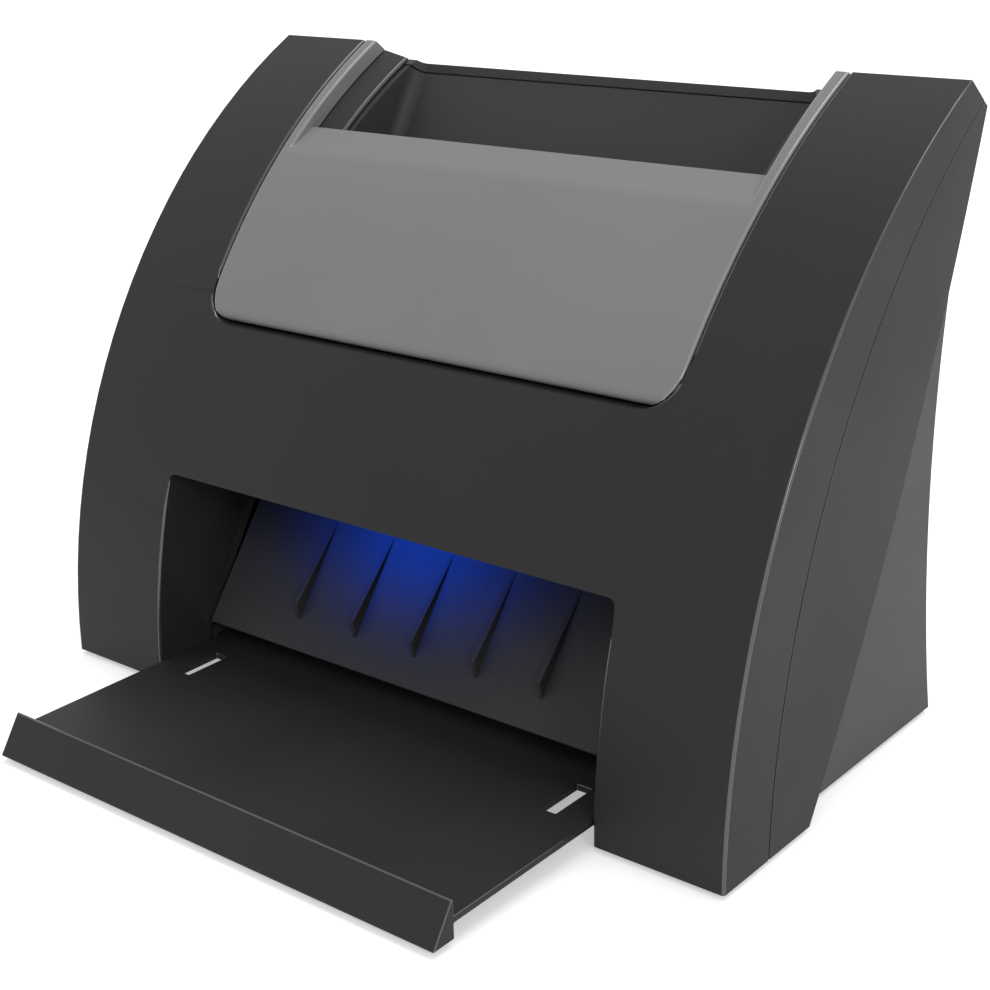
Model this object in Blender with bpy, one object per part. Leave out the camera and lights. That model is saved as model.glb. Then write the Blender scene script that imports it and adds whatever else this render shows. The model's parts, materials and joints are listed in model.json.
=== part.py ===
"""Desktop card scanner with a top hopper, a straight card path and a sliding exit tray.

Lengths are in metres. In the modelling frame X runs across the machine with zero at its middle,
Y runs rearward from the front shell's lower edge, and Z runs up from the shells' lower edge.
The empty named machine carries everything, and centres it over the surface that it stands on.
"""

import math
from collections import namedtuple

import bmesh
import bpy
from mathutils import Vector

Arc = namedtuple("Arc", "centre_y centre_z radius side")

# Fits
GAP = 0.0003
DOOR_GAP = 0.00035
PARTING_GAP = 0.0004
OVERRUN = 0.003
CUT_REACH = 0.04
ARC_STEPS = 24
CORNER_STEPS = 6
ROUND_SIDES = 20
SMALL_SIDES = 16

# Widths, built up from the hopper to the outer shells
HOPPER_WIDTH = 0.1030
FRAME_MARGIN = 0.0105
FRAME_WALL = 0.0020
GEAR_ROOM = 0.0120
SIDE_STEP = 0.00435
RAIL_ROOM = 0.0062
SHELL_WALL = 0.0022
CROWN_WALL = 0.0015

# Housing profile. The card path and the crown give its height.
CROWN_ANGLE = math.radians(37.4)
CROWN_RUN = 0.01205
BACK_BASE = 0.0826
BACK_SAG = 0.0072
PARTING_BASE = 0.0140
PARTING_CROWN_RUN = 0.00545
PARTING_SAG = 0.0167
SLAB_BASE = 0.0280
SLAB_CROWN_RUN = 0.00685
SLAB_SAG = 0.0040
BOSS_RADIUS = 0.0040
BOSS_INSET = 0.0035
BOSS_TOP = 0.0160
FRONT_BOSS_Y = 0.0092
REAR_BOSS_Y = 0.0720

# Exit bay
BAY_HEIGHT = 0.0440
BAY_CORNER = 0.0015
BAY_WALL = 0.0020

# Access door, its recess and its hinge
DOOR_DROP = 0.0505
DOOR_THICKNESS = 0.0032
DOOR_CORNER = 0.0075
STRIP_WIDTH = 0.0031
DOOR_TAPER = 0.0016
LEDGE_WIDTH = 0.0044
LEDGE_WALL = 0.0030
LEDGE_FALL = 0.0024
LEDGE_MARGIN = 0.0028
RECESS_DEPTH = 0.0035
MOUTH_DROP = 0.0150
LIP_DROP = 0.0193
LIP_ANGLE = math.radians(27)
LIP_LENGTH = 0.0079
HINGE_RISE = 0.0080
HINGE_SWING = 0.0012
HINGE_PIN_RADIUS = 0.0007
HINGE_PIN_GRIP = 0.0080
DOOR_FLOOR_TRIM = 0.0002

# Hopper
HOPPER_TAPER = 0.0015
HOPPER_CORNER = 0.0030
RIM_RUN = 0.00665
RIM_HEIGHT = 0.0019
LINER_WALL = 0.0018
LINER_CLEAR = 0.0050
THROAT_REACH = 0.0450

# Card path, from the top of the ramp up to the hopper's rim
PATH_LOW_Y = 0.0303
PATH_LOW_Z = 0.0321
PATH_ANGLE = math.radians(58.853)
HOPPER_REACH = 0.034986
PATH_GAP = 0.0014
GUIDE_WALL = 0.0016
EXIT_STATION = 0.0160
EXIT_GUIDE_START = 0.0030
RAMP_TOP_STATION = 0.0090
REAR_SENSOR_STATION = 0.0460
FRONT_SENSOR_STATION = 0.0320
SENSOR_WIDTH = 0.0140
SENSOR_DEPTH = 0.0110
GLASS_WIDTH = 0.0100
GLASS_WALL = 0.0010
GLASS_MARGIN = 0.0087
DOOR_GUIDE_LOW = 0.0500
DOOR_GUIDE_CLEAR = 0.0077
DOOR_GUIDE_MARGIN = 0.0029
GUSSET_WALL = 0.0018
GUSSET_DROP = 0.0240

# Rollers and shafts
DRIVEN_RADIUS = 0.0060
DRIVEN_PROUD = 0.0004
PINCH_RADIUS = 0.0045
PINCH_CLEAR = 0.00035
SHAFT_RADIUS = 0.0030
PINCH_SHAFT_RADIUS = 0.0015
ROLLER_CENTRE = 0.0240
ROLLER_WIDTH = 0.0120
ROLLER_WINDOW_GAP = 0.0008
BUSH_WALL = 0.0013
BUSH_FLANGE = 0.0012
SHAFT_OVERHANG = 0.0025

# Gear train
GEAR_MODULE = 0.001
ROLLER_TEETH = 16
IDLER_TEETH = 32
PINION_TEETH = 10
PRESSURE_ANGLE = math.radians(25)
TOOTH_HEAD_SHARE = 0.85
TOOTH_FOOT_SHARE = 1.15
BACKLASH = 0.00012
GEAR_OFFSET = 0.0020
GEAR_WIDTH = 0.0050
PINION_ANGLE = math.radians(-72)
IDLER_PIN_RADIUS = 0.0025
PIN_FLANGE_RADIUS = 0.0040
PINION_SHAFT_RADIUS = 0.0012

# Motor
MOTOR_RADIUS = 0.0115
MOTOR_LENGTH = 0.0200
MOTOR_CAP_RADIUS = 0.0050
MOTOR_CAP_LENGTH = 0.0020
MOTOR_BOSS_RADIUS = 0.0035

# Side frames
FRAME_FRONT_Y = 0.0260
FRAME_REAR_Y = 0.0715
FRAME_REAR_BEND_Z = 0.0540
FRAME_FRONT_REACH = 0.0180
FRAME_LOW_STATION = 0.0040
FRAME_MID_STATION = 0.0400
FRAME_TOP_STATION = 0.0760
FRAME_TOP_REACH = 0.0080
FRAME_TOP_BACK = 0.0060
FOOT_LENGTH = 0.0060
FOOT_WIDTH = 0.0060
FOOT_WALL = 0.0018
FRONT_FOOT_Y = 0.0330
REAR_FOOT_Y = 0.0650

# Exit ramp
RAMP_LOW_Y = 0.0133
RAMP_LOW_Z = 0.0092
RAMP_WALL = 0.0020
RIB_COUNT = 5
RIB_PITCH = 0.0157
RIB_HEIGHT = 0.0027
RIB_THICKNESS = 0.0009
RIB_START_SHARE = 0.98
RIB_CREST_SHARE = 0.31
RIB_FOOT_SHARE = 0.215

# Exit tray and its rails
TRAY_WALL = 0.0014
TRAY_TOP = 0.00465
TRAY_FRONT_Y = -0.0363
TRAY_REAR_Y = 0.0300
TRAY_SIDE_GAP = 0.00065
LIP_RUN = 0.0052
LIP_TOP = 0.0076
LIP_BASE = 0.0003
LIP_EDGE = 0.0004
SLOT_X = 0.0472
SLOT_WIDTH = 0.0032
SLOT_FRONT_Y = -0.0013
SLOT_LENGTH = 0.0107
TONGUE_LENGTH = 0.0134
TONGUE_REACH = 0.0018
TONGUE_OVERLAP = 0.0015
RAIL_WALL = 0.0015
RAIL_TOP = 0.0070
RAIL_STOP = 0.0013

# Base
BASE_WALL = 0.0022
BAY_FLOOR_Y = 0.0240
RAIL_FLOOR_Y = 0.0149
FOOT_PAD_RADIUS = 0.0050
FOOT_PAD_HEIGHT = 0.0010
FOOT_PAD_SUNK = 0.0005
FOOT_PAD_INSET = 0.0090
FRONT_PAD_Y = 0.0190
REAR_PAD_Y = 0.0620
CASE_HEAD_RADIUS = 0.0026
CASE_HEAD_HEIGHT = 0.0007
CASE_HEAD_SUNK = 0.0012
CASE_SCREW_RADIUS = 0.00125
CASE_SCREW_TOP = 0.0120
FRAME_HEAD_RADIUS = 0.0024
FRAME_HEAD_HEIGHT = 0.0015
FRAME_SCREW_RADIUS = 0.0012
FRAME_SCREW_LOW = 0.0008

# Lamp
LAMP_X = -0.0085
LAMP_SETBACK = 0.0002
LENS_WIDTH = 0.0170
LENS_LENGTH = 0.0054
LENS_DROP = 0.0003
LAMP_BOARD_WIDTH = 0.0280
LAMP_BOARD_LENGTH = 0.0100
BOARD_WALL = 0.0016

# Main board and its sockets
BOARD_HALF = 0.0570
BOARD_FRONT_Y = 0.0360
BOARD_REAR_Y = 0.0740
CHIP_SIDE = 0.0120
CHIP_HEIGHT = 0.0016
CHIP_SHARE = 0.175
CHIP_Y = 0.0480
CAPACITOR_RADIUS = 0.0030
CAPACITOR_HEIGHT = 0.0080
CAPACITOR_SHARE = -0.596
CAPACITOR_PITCH = 0.0090
SOCKET_FACE_INSET = 0.0007
USB_X = 0.0180
USB_WIDTH = 0.0120
USB_HEIGHT = 0.0110
USB_LENGTH = 0.0160
USB_PORT_WIDTH = 0.0085
USB_PORT_HEIGHT = 0.0078
USB_TONGUE_WIDTH = 0.0056
USB_TONGUE_HEIGHT = 0.0032
PORT_DEPTH = 0.0090
JACK_X = -0.0200
JACK_WIDTH = 0.0090
JACK_HEIGHT = 0.0110
JACK_LENGTH = 0.0140
JACK_BORE = 0.0032
JACK_PIN = 0.0010

# Places worked out from the sizes above
GEAR_SPAN = GEAR_MODULE * (ROLLER_TEETH + IDLER_TEETH)
FEED_STATION = EXIT_STATION + GEAR_SPAN
LINER_STATION = FEED_STATION + LINER_CLEAR
DOOR_GUIDE_BEND = FEED_STATION + DOOR_GUIDE_CLEAR
PATH_LENGTH = FEED_STATION + HOPPER_REACH
PATH_LOW = Vector((PATH_LOW_Y, PATH_LOW_Z))
PATH_DIRECTION = Vector((math.cos(PATH_ANGLE), math.sin(PATH_ANGLE)))
PATH_NORMAL = Vector((PATH_DIRECTION.y, -PATH_DIRECTION.x))
RIM = PATH_LOW + PATH_DIRECTION * PATH_LENGTH + Vector((0.0, RIM_HEIGHT))
FRONT_SETBACK = RIM.x - RIM_RUN
BODY_HEIGHT = RIM.y + RIM_RUN * math.tan(CROWN_ANGLE)

HOPPER_HALF = HOPPER_WIDTH / 2
DOOR_GUIDE_HALF = HOPPER_HALF - DOOR_GUIDE_MARGIN
FRAME_HALF = HOPPER_HALF + FRAME_MARGIN
FRAME_OUTER = FRAME_HALF + FRAME_WALL
REAR_INNER = FRAME_OUTER + GEAR_ROOM
REAR_HALF = REAR_INNER + SHELL_WALL
BODY_HALF = REAR_HALF + SIDE_STEP
BAY_HALF = FRAME_HALF - RAIL_ROOM
CHEEK_HALF = BAY_HALF + BAY_WALL
MOUTH_HALF = HOPPER_HALF + LEDGE_WIDTH
DOOR_TOP_HALF = MOUTH_HALF + STRIP_WIDTH
DOOR_LOW_HALF = DOOR_TOP_HALF - DOOR_TAPER
LEDGE_HALF = DOOR_TOP_HALF + LEDGE_MARGIN
DOOR_BASE = BODY_HEIGHT - DOOR_DROP
MOUTH_BASE = BODY_HEIGHT - MOUTH_DROP
CHASSIS_HALF = FRAME_HALF - GAP
GLASS_HALF = CHASSIS_HALF - GLASS_MARGIN
GEAR_START = FRAME_OUTER + GEAR_OFFSET
GEAR_END = GEAR_START + GEAR_WIDTH
TRAY_HALF = BAY_HALF - TRAY_SIDE_GAP
RAIL_HALF = BAY_HALF + TONGUE_REACH + GAP + RAIL_WALL
BOARD_BASE = RAIL_TOP + GAP
CHIP_X = BOARD_HALF * CHIP_SHARE
CAPACITOR_X = BOARD_HALF * CAPACITOR_SHARE
BOARD_TOP = BOARD_BASE + BOARD_WALL
TRAY_TRAVEL = -TRAY_FRONT_Y - GAP


# Outline tools

def arc_between(start, end, sag, side):
    """Arc between two (y, z) points. It bulges forward where side is -1, and rearward where it is 1."""
    start, end = Vector(start), Vector(end)
    chord = end - start
    radius = (chord.length_squared / 4 + sag * sag) / (2 * sag)
    bulge = Vector((chord.y, -chord.x)).normalized() * side
    centre = (start + end) / 2 - bulge * (radius - sag)
    return Arc(centre.x, centre.y, radius, side)


def arc_y(arc, height):
    rise = height - arc.centre_z
    return arc.centre_y + arc.side * math.sqrt(arc.radius ** 2 - rise ** 2)


def arc_points(arc, low, high, steps=ARC_STEPS):
    """(y, z) points from one height to another, evenly spaced along the arc."""
    first = math.asin((low - arc.centre_z) / arc.radius)
    last = math.asin((high - arc.centre_z) / arc.radius)
    angles = [first + (last - first) * index / steps for index in range(steps + 1)]
    return [
        (
            arc.centre_y + arc.side * arc.radius * math.cos(angle),
            arc.centre_z + arc.radius * math.sin(angle),
        )
        for angle in angles
    ]


def grown(arc, amount):
    return arc._replace(radius=arc.radius + amount)


def shifted(arc, run):
    return arc._replace(centre_y=arc.centre_y + run)


def crown_point(run, depth=0.0):
    """Point of the sloping crown, at a level run behind its front edge and a depth below it."""
    slope = Vector((math.cos(CROWN_ANGLE), -math.sin(CROWN_ANGLE)))
    inward = Vector((-math.sin(CROWN_ANGLE), -math.cos(CROWN_ANGLE)))
    start = Vector((FRONT_SETBACK, BODY_HEIGHT))
    return start + slope * (run / math.cos(CROWN_ANGLE)) + inward * depth


def crown_meet(arc, depth=0.0):
    """Point where an arc meets the crown, or the plane at a depth below it."""
    start = crown_point(0, depth)
    slope = Vector((math.cos(CROWN_ANGLE), -math.sin(CROWN_ANGLE)))
    offset = start - Vector((arc.centre_y, arc.centre_z))
    middle = offset.dot(slope)
    root = math.sqrt(middle ** 2 - offset.length_squared + arc.radius ** 2)
    return start + slope * min((-middle - root, -middle + root), key=abs)


def between(front, rear, low, depth=0.0):
    """Outline between two arcs, from a height up to a depth below the crown."""
    rising = arc_points(front, low, crown_meet(front, depth).y)
    falling = arc_points(rear, low, crown_meet(rear, depth).y)
    return rising + falling[::-1]


def path_point(station, behind=0.0):
    """Point of the card path's rear face at a distance from its low end, or behind that face."""
    along = PATH_DIRECTION * station
    across = PATH_NORMAL * behind
    return PATH_LOW + along + across


def path_block(low, high, front, back):
    """Outline of a rectangle laid along the card path."""
    return [
        path_point(low, front),
        path_point(high, front),
        path_point(high, back),
        path_point(low, back),
    ]


def rectangle(left, right, low, high):
    return [(left, low), (right, low), (right, high), (left, high)]


def circle(centre, radius, sides, start=0.0):
    """Round outline. Its corners lie on the circle."""
    angles = [start + 2 * math.pi * index / sides for index in range(sides)]
    return [
        (centre[0] + radius * math.cos(angle), centre[1] + radius * math.sin(angle))
        for angle in angles
    ]


def corner(centre, radius, start, end):
    """Points of a rounded corner between two angles."""
    angles = [start + (end - start) * index / CORNER_STEPS for index in range(CORNER_STEPS + 1)]
    return [
        (centre[0] + radius * math.cos(angle), centre[1] + radius * math.sin(angle))
        for angle in angles
    ]


def mirrored(outline):
    """A symmetrical outline from its right half, given from the middle's start to the middle's end."""
    return outline + [(-across, along) for across, along in reversed(outline)]


FRONT_RADIUS = (FRONT_SETBACK ** 2 + BODY_HEIGHT ** 2) / (2 * FRONT_SETBACK)
FRONT = Arc(FRONT_RADIUS, 0.0, FRONT_RADIUS, -1)
FRONT_INNER = grown(FRONT, -SHELL_WALL)
PARTING = arc_between((PARTING_BASE, 0.0), crown_point(PARTING_CROWN_RUN), PARTING_SAG, -1)
SLAB_FRONT = shifted(PARTING, PARTING_GAP)
SLAB = arc_between((SLAB_BASE, 0.0), crown_point(SLAB_CROWN_RUN), SLAB_SAG, 1)
BACK = arc_between((BACK_BASE, 0.0), crown_point(CROWN_RUN), BACK_SAG, -1)
BACK_INNER = grown(BACK, SHELL_WALL)
LEDGE_UNDER = grown(FRONT, -RECESS_DEPTH - LEDGE_WALL)

LAMP_BOARD_BASE = BAY_HEIGHT + BAY_WALL + GAP
LAMP_BOARD_TOP = LAMP_BOARD_BASE + BOARD_WALL
LAMP_Y = arc_y(FRONT_INNER, LAMP_BOARD_TOP) + LAMP_SETBACK + LAMP_BOARD_LENGTH / 2

DRIVEN_OFFSET = DRIVEN_RADIUS - DRIVEN_PROUD
PINCH_OFFSET = -DRIVEN_PROUD - PINCH_CLEAR - PINCH_RADIUS
EXIT_AXIS = path_point(EXIT_STATION, DRIVEN_OFFSET)
FEED_AXIS = path_point(FEED_STATION, DRIVEN_OFFSET)
IDLER_AXIS = (EXIT_AXIS + FEED_AXIS) / 2
PINION_SPAN = GEAR_MODULE * (IDLER_TEETH + PINION_TEETH) / 2
PINION_AXIS = IDLER_AXIS + PINION_SPAN * Vector((math.cos(PINION_ANGLE), math.sin(PINION_ANGLE)))
EXIT_PINCH_AXIS = path_point(EXIT_STATION, PINCH_OFFSET)
DOOR_PINCH_AXIS = path_point(FEED_STATION, PINCH_OFFSET)
DOOR_MIDDLE = grown(FRONT, -DOOR_THICKNESS / 2)
EDGE_HEIGHT = DOOR_BASE + DOOR_THICKNESS / 2
EDGE_AXIS = Vector((arc_y(DOOR_MIDDLE, EDGE_HEIGHT), EDGE_HEIGHT))
HINGE_HEIGHT = DOOR_BASE + HINGE_RISE
HINGE_AXIS = Vector((arc_y(DOOR_MIDDLE, HINGE_HEIGHT), HINGE_HEIGHT))
MIDDLE_Y = (TRAY_FRONT_Y - LIP_RUN + crown_point(CROWN_RUN).x) / 2


# Solid tools

def loft(name, rings):
    """Closed solid through matching rings of points, capped at both ends."""
    form = bmesh.new()
    loops = [[form.verts.new(point) for point in ring] for ring in rings]
    form.faces.new(loops[0][::-1])
    form.faces.new(loops[-1])
    count = len(loops[0])
    for low, high in zip(loops, loops[1:]):
        for index in range(count):
            after = (index + 1) % count
            form.faces.new((low[index], low[after], high[after], high[index]))
    return finished(name, form)


def finished(name, form):
    """Object of a form whose faces are turned outward."""
    bmesh.ops.recalc_face_normals(form, faces=form.faces)
    mesh = bpy.data.meshes.new(name)
    form.to_mesh(mesh)
    form.free()
    result = bpy.data.objects.new(name, mesh)
    bpy.context.scene.collection.objects.link(result)
    result.parent = MACHINE
    return result


def prism_x(name, outline, start, end):
    """Solid whose (y, z) outline runs along X."""
    return loft(name, [[(x, y, z) for y, z in outline] for x in (start, end)])


def prism_y(name, outline, start, end):
    """Solid whose (x, z) outline runs along Y."""
    return loft(name, [[(x, y, z) for x, z in outline] for y in (start, end)])


def prism_z(name, outline, start, end):
    """Solid whose (x, y) outline runs along Z."""
    return loft(name, [[(x, y, z) for x, y in outline] for z in (start, end)])


def turned_x(name, axis, stations, sides=ROUND_SIDES):
    """Solid turned about an axis along X. Each station is an x and a radius."""
    rings = [[(x, y, z) for y, z in circle(axis, radius, sides)] for x, radius in stations]
    return loft(name, rings)


def rod_x(name, axis, radius, start, end, sides=ROUND_SIDES):
    return turned_x(name, axis, [(start, radius), (end, radius)], sides)


def rod_z(name, place, radius, low, high, sides=ROUND_SIDES):
    return prism_z(name, circle(place, radius, sides), low, high)


def path_prism(name, outline, low, high):
    """Solid whose outline, given as (x, distance behind the path), runs along the card path."""
    rings = []
    for station in (low, high):
        rings.append([(x, *path_point(station, behind)) for x, behind in outline])
    return loft(name, rings)


def change(target, helper, operation):
    """Cuts, adds or intersects with a helper, which isn't a part of the machine by itself."""
    step = target.modifiers.new(helper.name, "BOOLEAN")
    step.operation = operation
    step.solver = "EXACT"
    step.object = helper
    helper.hide_render = True
    helper.display_type = "WIRE"
    return target


def cut(target, helper):
    return change(target, helper, "DIFFERENCE")


def add(target, helper):
    return change(target, helper, "UNION")


def limit(target, helper):
    return change(target, helper, "INTERSECT")


def sides():
    """Signs of the left and the right side."""
    return (-1, 1)


# Materials

def finish(name, colour, roughness, metallic=0.0):
    material = bpy.data.materials.new(name)
    material.use_nodes = True
    surface = material.node_tree.nodes["Principled BSDF"]
    surface.inputs["Base Color"].default_value = (*colour, 1.0)
    surface.inputs["Roughness"].default_value = roughness
    surface.inputs["Metallic"].default_value = metallic
    return material


def painted(target, name):
    target.data.materials.clear()
    target.data.materials.append(MATERIALS[name])
    return target


# Gears

def involute(angle):
    return math.tan(angle) - angle


def gear_outline(axis, teeth, facing):
    """Involute gear outline with the middle of a tooth at the facing angle."""
    pitch = GEAR_MODULE * teeth / 2
    base = pitch * math.cos(PRESSURE_ANGLE)
    root = pitch - GEAR_MODULE * TOOTH_FOOT_SHARE
    tip = pitch + GEAR_MODULE * TOOTH_HEAD_SHARE
    start = max(base, root)
    middle = math.pi / (2 * teeth) - BACKLASH / pitch + involute(PRESSURE_ANGLE)
    flank = [(root, middle - involute(math.acos(base / start)))]
    for radius in (start, (start + tip) / 2, tip):
        flank.append((radius, middle - involute(math.acos(min(1.0, base / radius)))))
    outline = []
    for tooth in range(teeth):
        turn = facing + 2 * math.pi * tooth / teeth
        angles = [(radius, turn - half) for radius, half in flank]
        angles += [(radius, turn + half) for radius, half in reversed(flank)]
        for radius, angle in angles:
            outline.append((axis[0] + radius * math.cos(angle), axis[1] + radius * math.sin(angle)))
    return outline


def gear(name, axis, teeth, facing, bore):
    wheel = prism_x(name, gear_outline(axis, teeth, facing), GEAR_START, GEAR_END)
    reach = OVERRUN
    cutter = rod_x(name + "_bore", axis, bore, GEAR_START - reach, GEAR_END + reach)
    return painted(cut(wheel, cutter), "gear_plastic")


# Housing

def door_outline(growth=0.0, trim=0.0):
    """(x, z) outline of the access door seen from the front, open upward past the crown."""
    radius = DOOR_CORNER + growth
    low_half = DOOR_LOW_HALF + growth
    base = DOOR_BASE - growth - trim
    right = corner((low_half - radius, base + radius), radius, -math.pi / 2, 0.0)
    return mirrored(right + [(DOOR_TOP_HALF + growth, BODY_HEIGHT + OVERRUN)])


def swing_stations():
    """Places along X, each with the radius about the hinge that clears the door's lower edge."""
    reach = (EDGE_AXIS - HINGE_AXIS).length + DOOR_THICKNESS / 2 + DOOR_GAP
    right = []
    for x, z in door_outline(DOOR_GAP)[: CORNER_STEPS + 1]:
        front = Vector((arc_y(FRONT, z), z))
        right.append((x, min(reach, (front - HINGE_AXIS).length)))
    left = [(-x, radius) for x, radius in reversed(right)]
    return left + right


def bay_outline(growth, base):
    """(x, z) outline of the exit bay, with rounded upper corners."""
    radius = BAY_CORNER + growth
    half = BAY_HALF + growth
    top = BAY_HEIGHT + growth
    right = corner((half - radius, top - radius), radius, 0.0, math.pi / 2)
    return mirrored([(half, base)] + right)


def boss(target, name, x, y):
    """Round screw boss that grows out of a side wall, with its pilot hole."""
    add(target, rod_z(name, (x, y), BOSS_RADIUS, BASE_WALL + GAP, BOSS_TOP))
    pilot = rod_z(name + "_pilot", (x, y), CASE_SCREW_RADIUS + GAP, -OVERRUN, CASE_SCREW_TOP + GAP)
    cut(target, pilot)


def cheek_outline():
    """(y, z) outline of the bay's cheek behind the parting line, as far back as the ramp and the card path."""
    base = RAIL_TOP + GAP
    top = BAY_HEIGHT + BAY_WALL
    low = Vector((RAMP_LOW_Y, RAMP_LOW_Z)) + ramp_normal() * RAMP_WALL
    turn = EXIT_GUIDE_START - GAP
    front = -PATH_GAP - GUIDE_WALL - GAP
    return [
        (arc_y(PARTING, base) - SHELL_WALL, base),
        (low.x, base),
        PATH_LOW,
        path_point(turn),
        path_point(turn, front),
        path_point((top - PATH_LOW_Z + PATH_DIRECTION.x * front) / PATH_DIRECTION.y, front),
        (arc_y(PARTING, top) - SHELL_WALL, top),
    ]


def ledge_funnel(side):
    """Wedge that slopes the recess's ledge down towards the hopper."""
    centre = Vector((FRONT.centre_y, FRONT.centre_z))
    across = (MOUTH_HALF, HOPPER_HALF - OVERRUN, HOPPER_HALF - OVERRUN)
    fall = LEDGE_FALL * (1 + OVERRUN / LEDGE_WIDTH)
    depths = (RECESS_DEPTH, RECESS_DEPTH + fall, RECESS_DEPTH - GAP)
    rings = []
    for point in arc_points(FRONT, MOUTH_BASE - MOUTH_DROP, BODY_HEIGHT + LEDGE_WIDTH):
        inward = (centre - Vector(point)).normalized()
        rings.append([(side * x, *(Vector(point) + inward * depth)) for x, depth in zip(across, depths)])
    return loft("ledge_funnel", rings)


def build_front_shell():
    shell = prism_x("front_shell", between(FRONT, PARTING, 0.0), -BODY_HALF, BODY_HALF)
    inner = BODY_HALF - SHELL_WALL
    hollow = between(FRONT_INNER, BACK_INNER, -OVERRUN, CROWN_WALL)
    cut(shell, prism_x("front_hollow", hollow, -inner, inner))

    ledge = between(grown(FRONT, -SHELL_WALL / 2), LEDGE_UNDER, DOOR_BASE - LEDGE_MARGIN, CROWN_WALL / 2)
    add(shell, prism_x("front_ledge", ledge, -LEDGE_HALF, LEDGE_HALF))
    recess = prism_y("front_recess", door_outline(DOOR_GAP), -OVERRUN, BACK_BASE + OVERRUN)
    depth = between(grown(FRONT, OVERRUN), grown(FRONT, -RECESS_DEPTH), DOOR_BASE - OVERRUN, -OVERRUN)
    limit(recess, prism_x("front_recess_depth", depth, -BODY_HALF, BODY_HALF))
    cut(shell, recess)
    swing = prism_y("front_swing_window", door_outline(DOOR_GAP), -OVERRUN, BACK_BASE + OVERRUN)
    band = rectangle(-BODY_HALF, BODY_HALF, -OVERRUN, BACK_BASE + OVERRUN)
    limit(swing, prism_z("front_swing_band", band, DOOR_BASE - OVERRUN, HINGE_HEIGHT + HINGE_SWING))
    cut(shell, swing)
    relief = turned_x("front_swing_relief", HINGE_AXIS, swing_stations())
    limit(relief, prism_z("front_relief_band", band, 0.0, HINGE_HEIGHT + HINGE_SWING))
    cut(shell, relief)
    doorway = rectangle(-HOPPER_HALF, HOPPER_HALF, HINGE_HEIGHT, BODY_HEIGHT + OVERRUN)
    cut(shell, prism_y("front_doorway", doorway, -OVERRUN, BACK_BASE + OVERRUN))
    for side in sides():
        cut(shell, ledge_funnel(side))

    bay = prism_y("front_bay", bay_outline(BAY_WALL, 0.0), 0.0, SLAB_BASE)
    band = between(grown(FRONT, -SHELL_WALL / 2), PARTING, 0.0)
    limit(bay, prism_x("front_bay_depth", band, -BODY_HALF, BODY_HALF))
    add(shell, bay)
    cut(shell, prism_y("front_exit", bay_outline(0.0, -OVERRUN), -OVERRUN, SLAB_BASE + OVERRUN))
    lens = rectangle(
        LAMP_X - LENS_WIDTH / 2 - GAP,
        LAMP_X + LENS_WIDTH / 2 + GAP,
        LAMP_Y - LENS_LENGTH / 2 - GAP,
        LAMP_Y + LENS_LENGTH / 2 + GAP,
    )
    cut(shell, prism_z("front_lens_window", lens, BAY_HEIGHT - OVERRUN, BAY_HEIGHT + BAY_WALL + OVERRUN))

    cheek = cheek_outline()
    for side in sides():
        add(shell, prism_x("front_cheek", cheek, side * BAY_HALF, side * CHEEK_HALF))
        bore = rod_x(
            "front_hinge_bore",
            HINGE_AXIS,
            HINGE_PIN_RADIUS + GAP,
            side * (DOOR_LOW_HALF - HINGE_PIN_GRIP),
            side * (DOOR_TOP_HALF + LEDGE_MARGIN / 2 + GAP),
            SMALL_SIDES,
        )
        cut(shell, bore)
        boss(shell, "front_boss", side * (inner - BOSS_INSET), FRONT_BOSS_Y)
    return painted(shell, "black_plastic")


def build_rear_housing():
    housing = prism_x("rear_housing", between(SLAB_FRONT, SLAB, 0.0), -BODY_HALF, BODY_HALF)
    buried = (SLAB_CROWN_RUN - PARTING_CROWN_RUN) / 2
    body = between(shifted(PARTING, PARTING_GAP + buried), BACK, 0.0)
    add(housing, prism_x("rear_body", body, -REAR_HALF, REAR_HALF))
    slab_inner = BODY_HALF - SHELL_WALL
    slab_hollow = between(FRONT_INNER, grown(SLAB, -SHELL_WALL), -OVERRUN, CROWN_WALL + GAP)
    cut(housing, prism_x("rear_slab_hollow", slab_hollow, -slab_inner, slab_inner))
    body_hollow = between(FRONT_INNER, BACK_INNER, -OVERRUN, CROWN_WALL)
    cut(housing, prism_x("rear_body_hollow", body_hollow, -REAR_INNER, REAR_INNER))

    back_half = HOPPER_HALF - HOPPER_TAPER
    round_y = RIM.x - HOPPER_CORNER
    rounded = corner((back_half - HOPPER_CORNER, round_y), HOPPER_CORNER, 0.0, math.pi / 2)
    notch = mirrored([(HOPPER_HALF, PARTING_BASE)] + rounded)
    cut(housing, prism_z("rear_mouth", notch, MOUTH_BASE - OVERRUN, BODY_HEIGHT + OVERRUN))

    for port in (usb_port(GAP), jack_port(GAP)):
        cut(housing, port)
    for side in sides():
        boss(housing, "rear_boss", side * (REAR_INNER - BOSS_INSET), REAR_BOSS_Y)
    return painted(housing, "grey_black_plastic")


def usb_port(growth):
    """Block that the data socket fills in the back wall."""
    outline = rectangle(
        USB_X - USB_WIDTH / 2 - growth,
        USB_X + USB_WIDTH / 2 + growth,
        BOARD_TOP + GAP - growth,
        BOARD_TOP + GAP + USB_HEIGHT + growth,
    )
    return prism_y("usb_opening", outline, BOARD_REAR_Y, BACK_BASE + OVERRUN)


def jack_port(growth):
    """Block that the power inlet fills in the back wall."""
    outline = rectangle(
        JACK_X - JACK_WIDTH / 2 - growth,
        JACK_X + JACK_WIDTH / 2 + growth,
        BOARD_TOP + GAP - growth,
        BOARD_TOP + GAP + JACK_HEIGHT + growth,
    )
    return prism_y("jack_opening", outline, BOARD_REAR_Y, BACK_BASE + OVERRUN)


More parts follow.
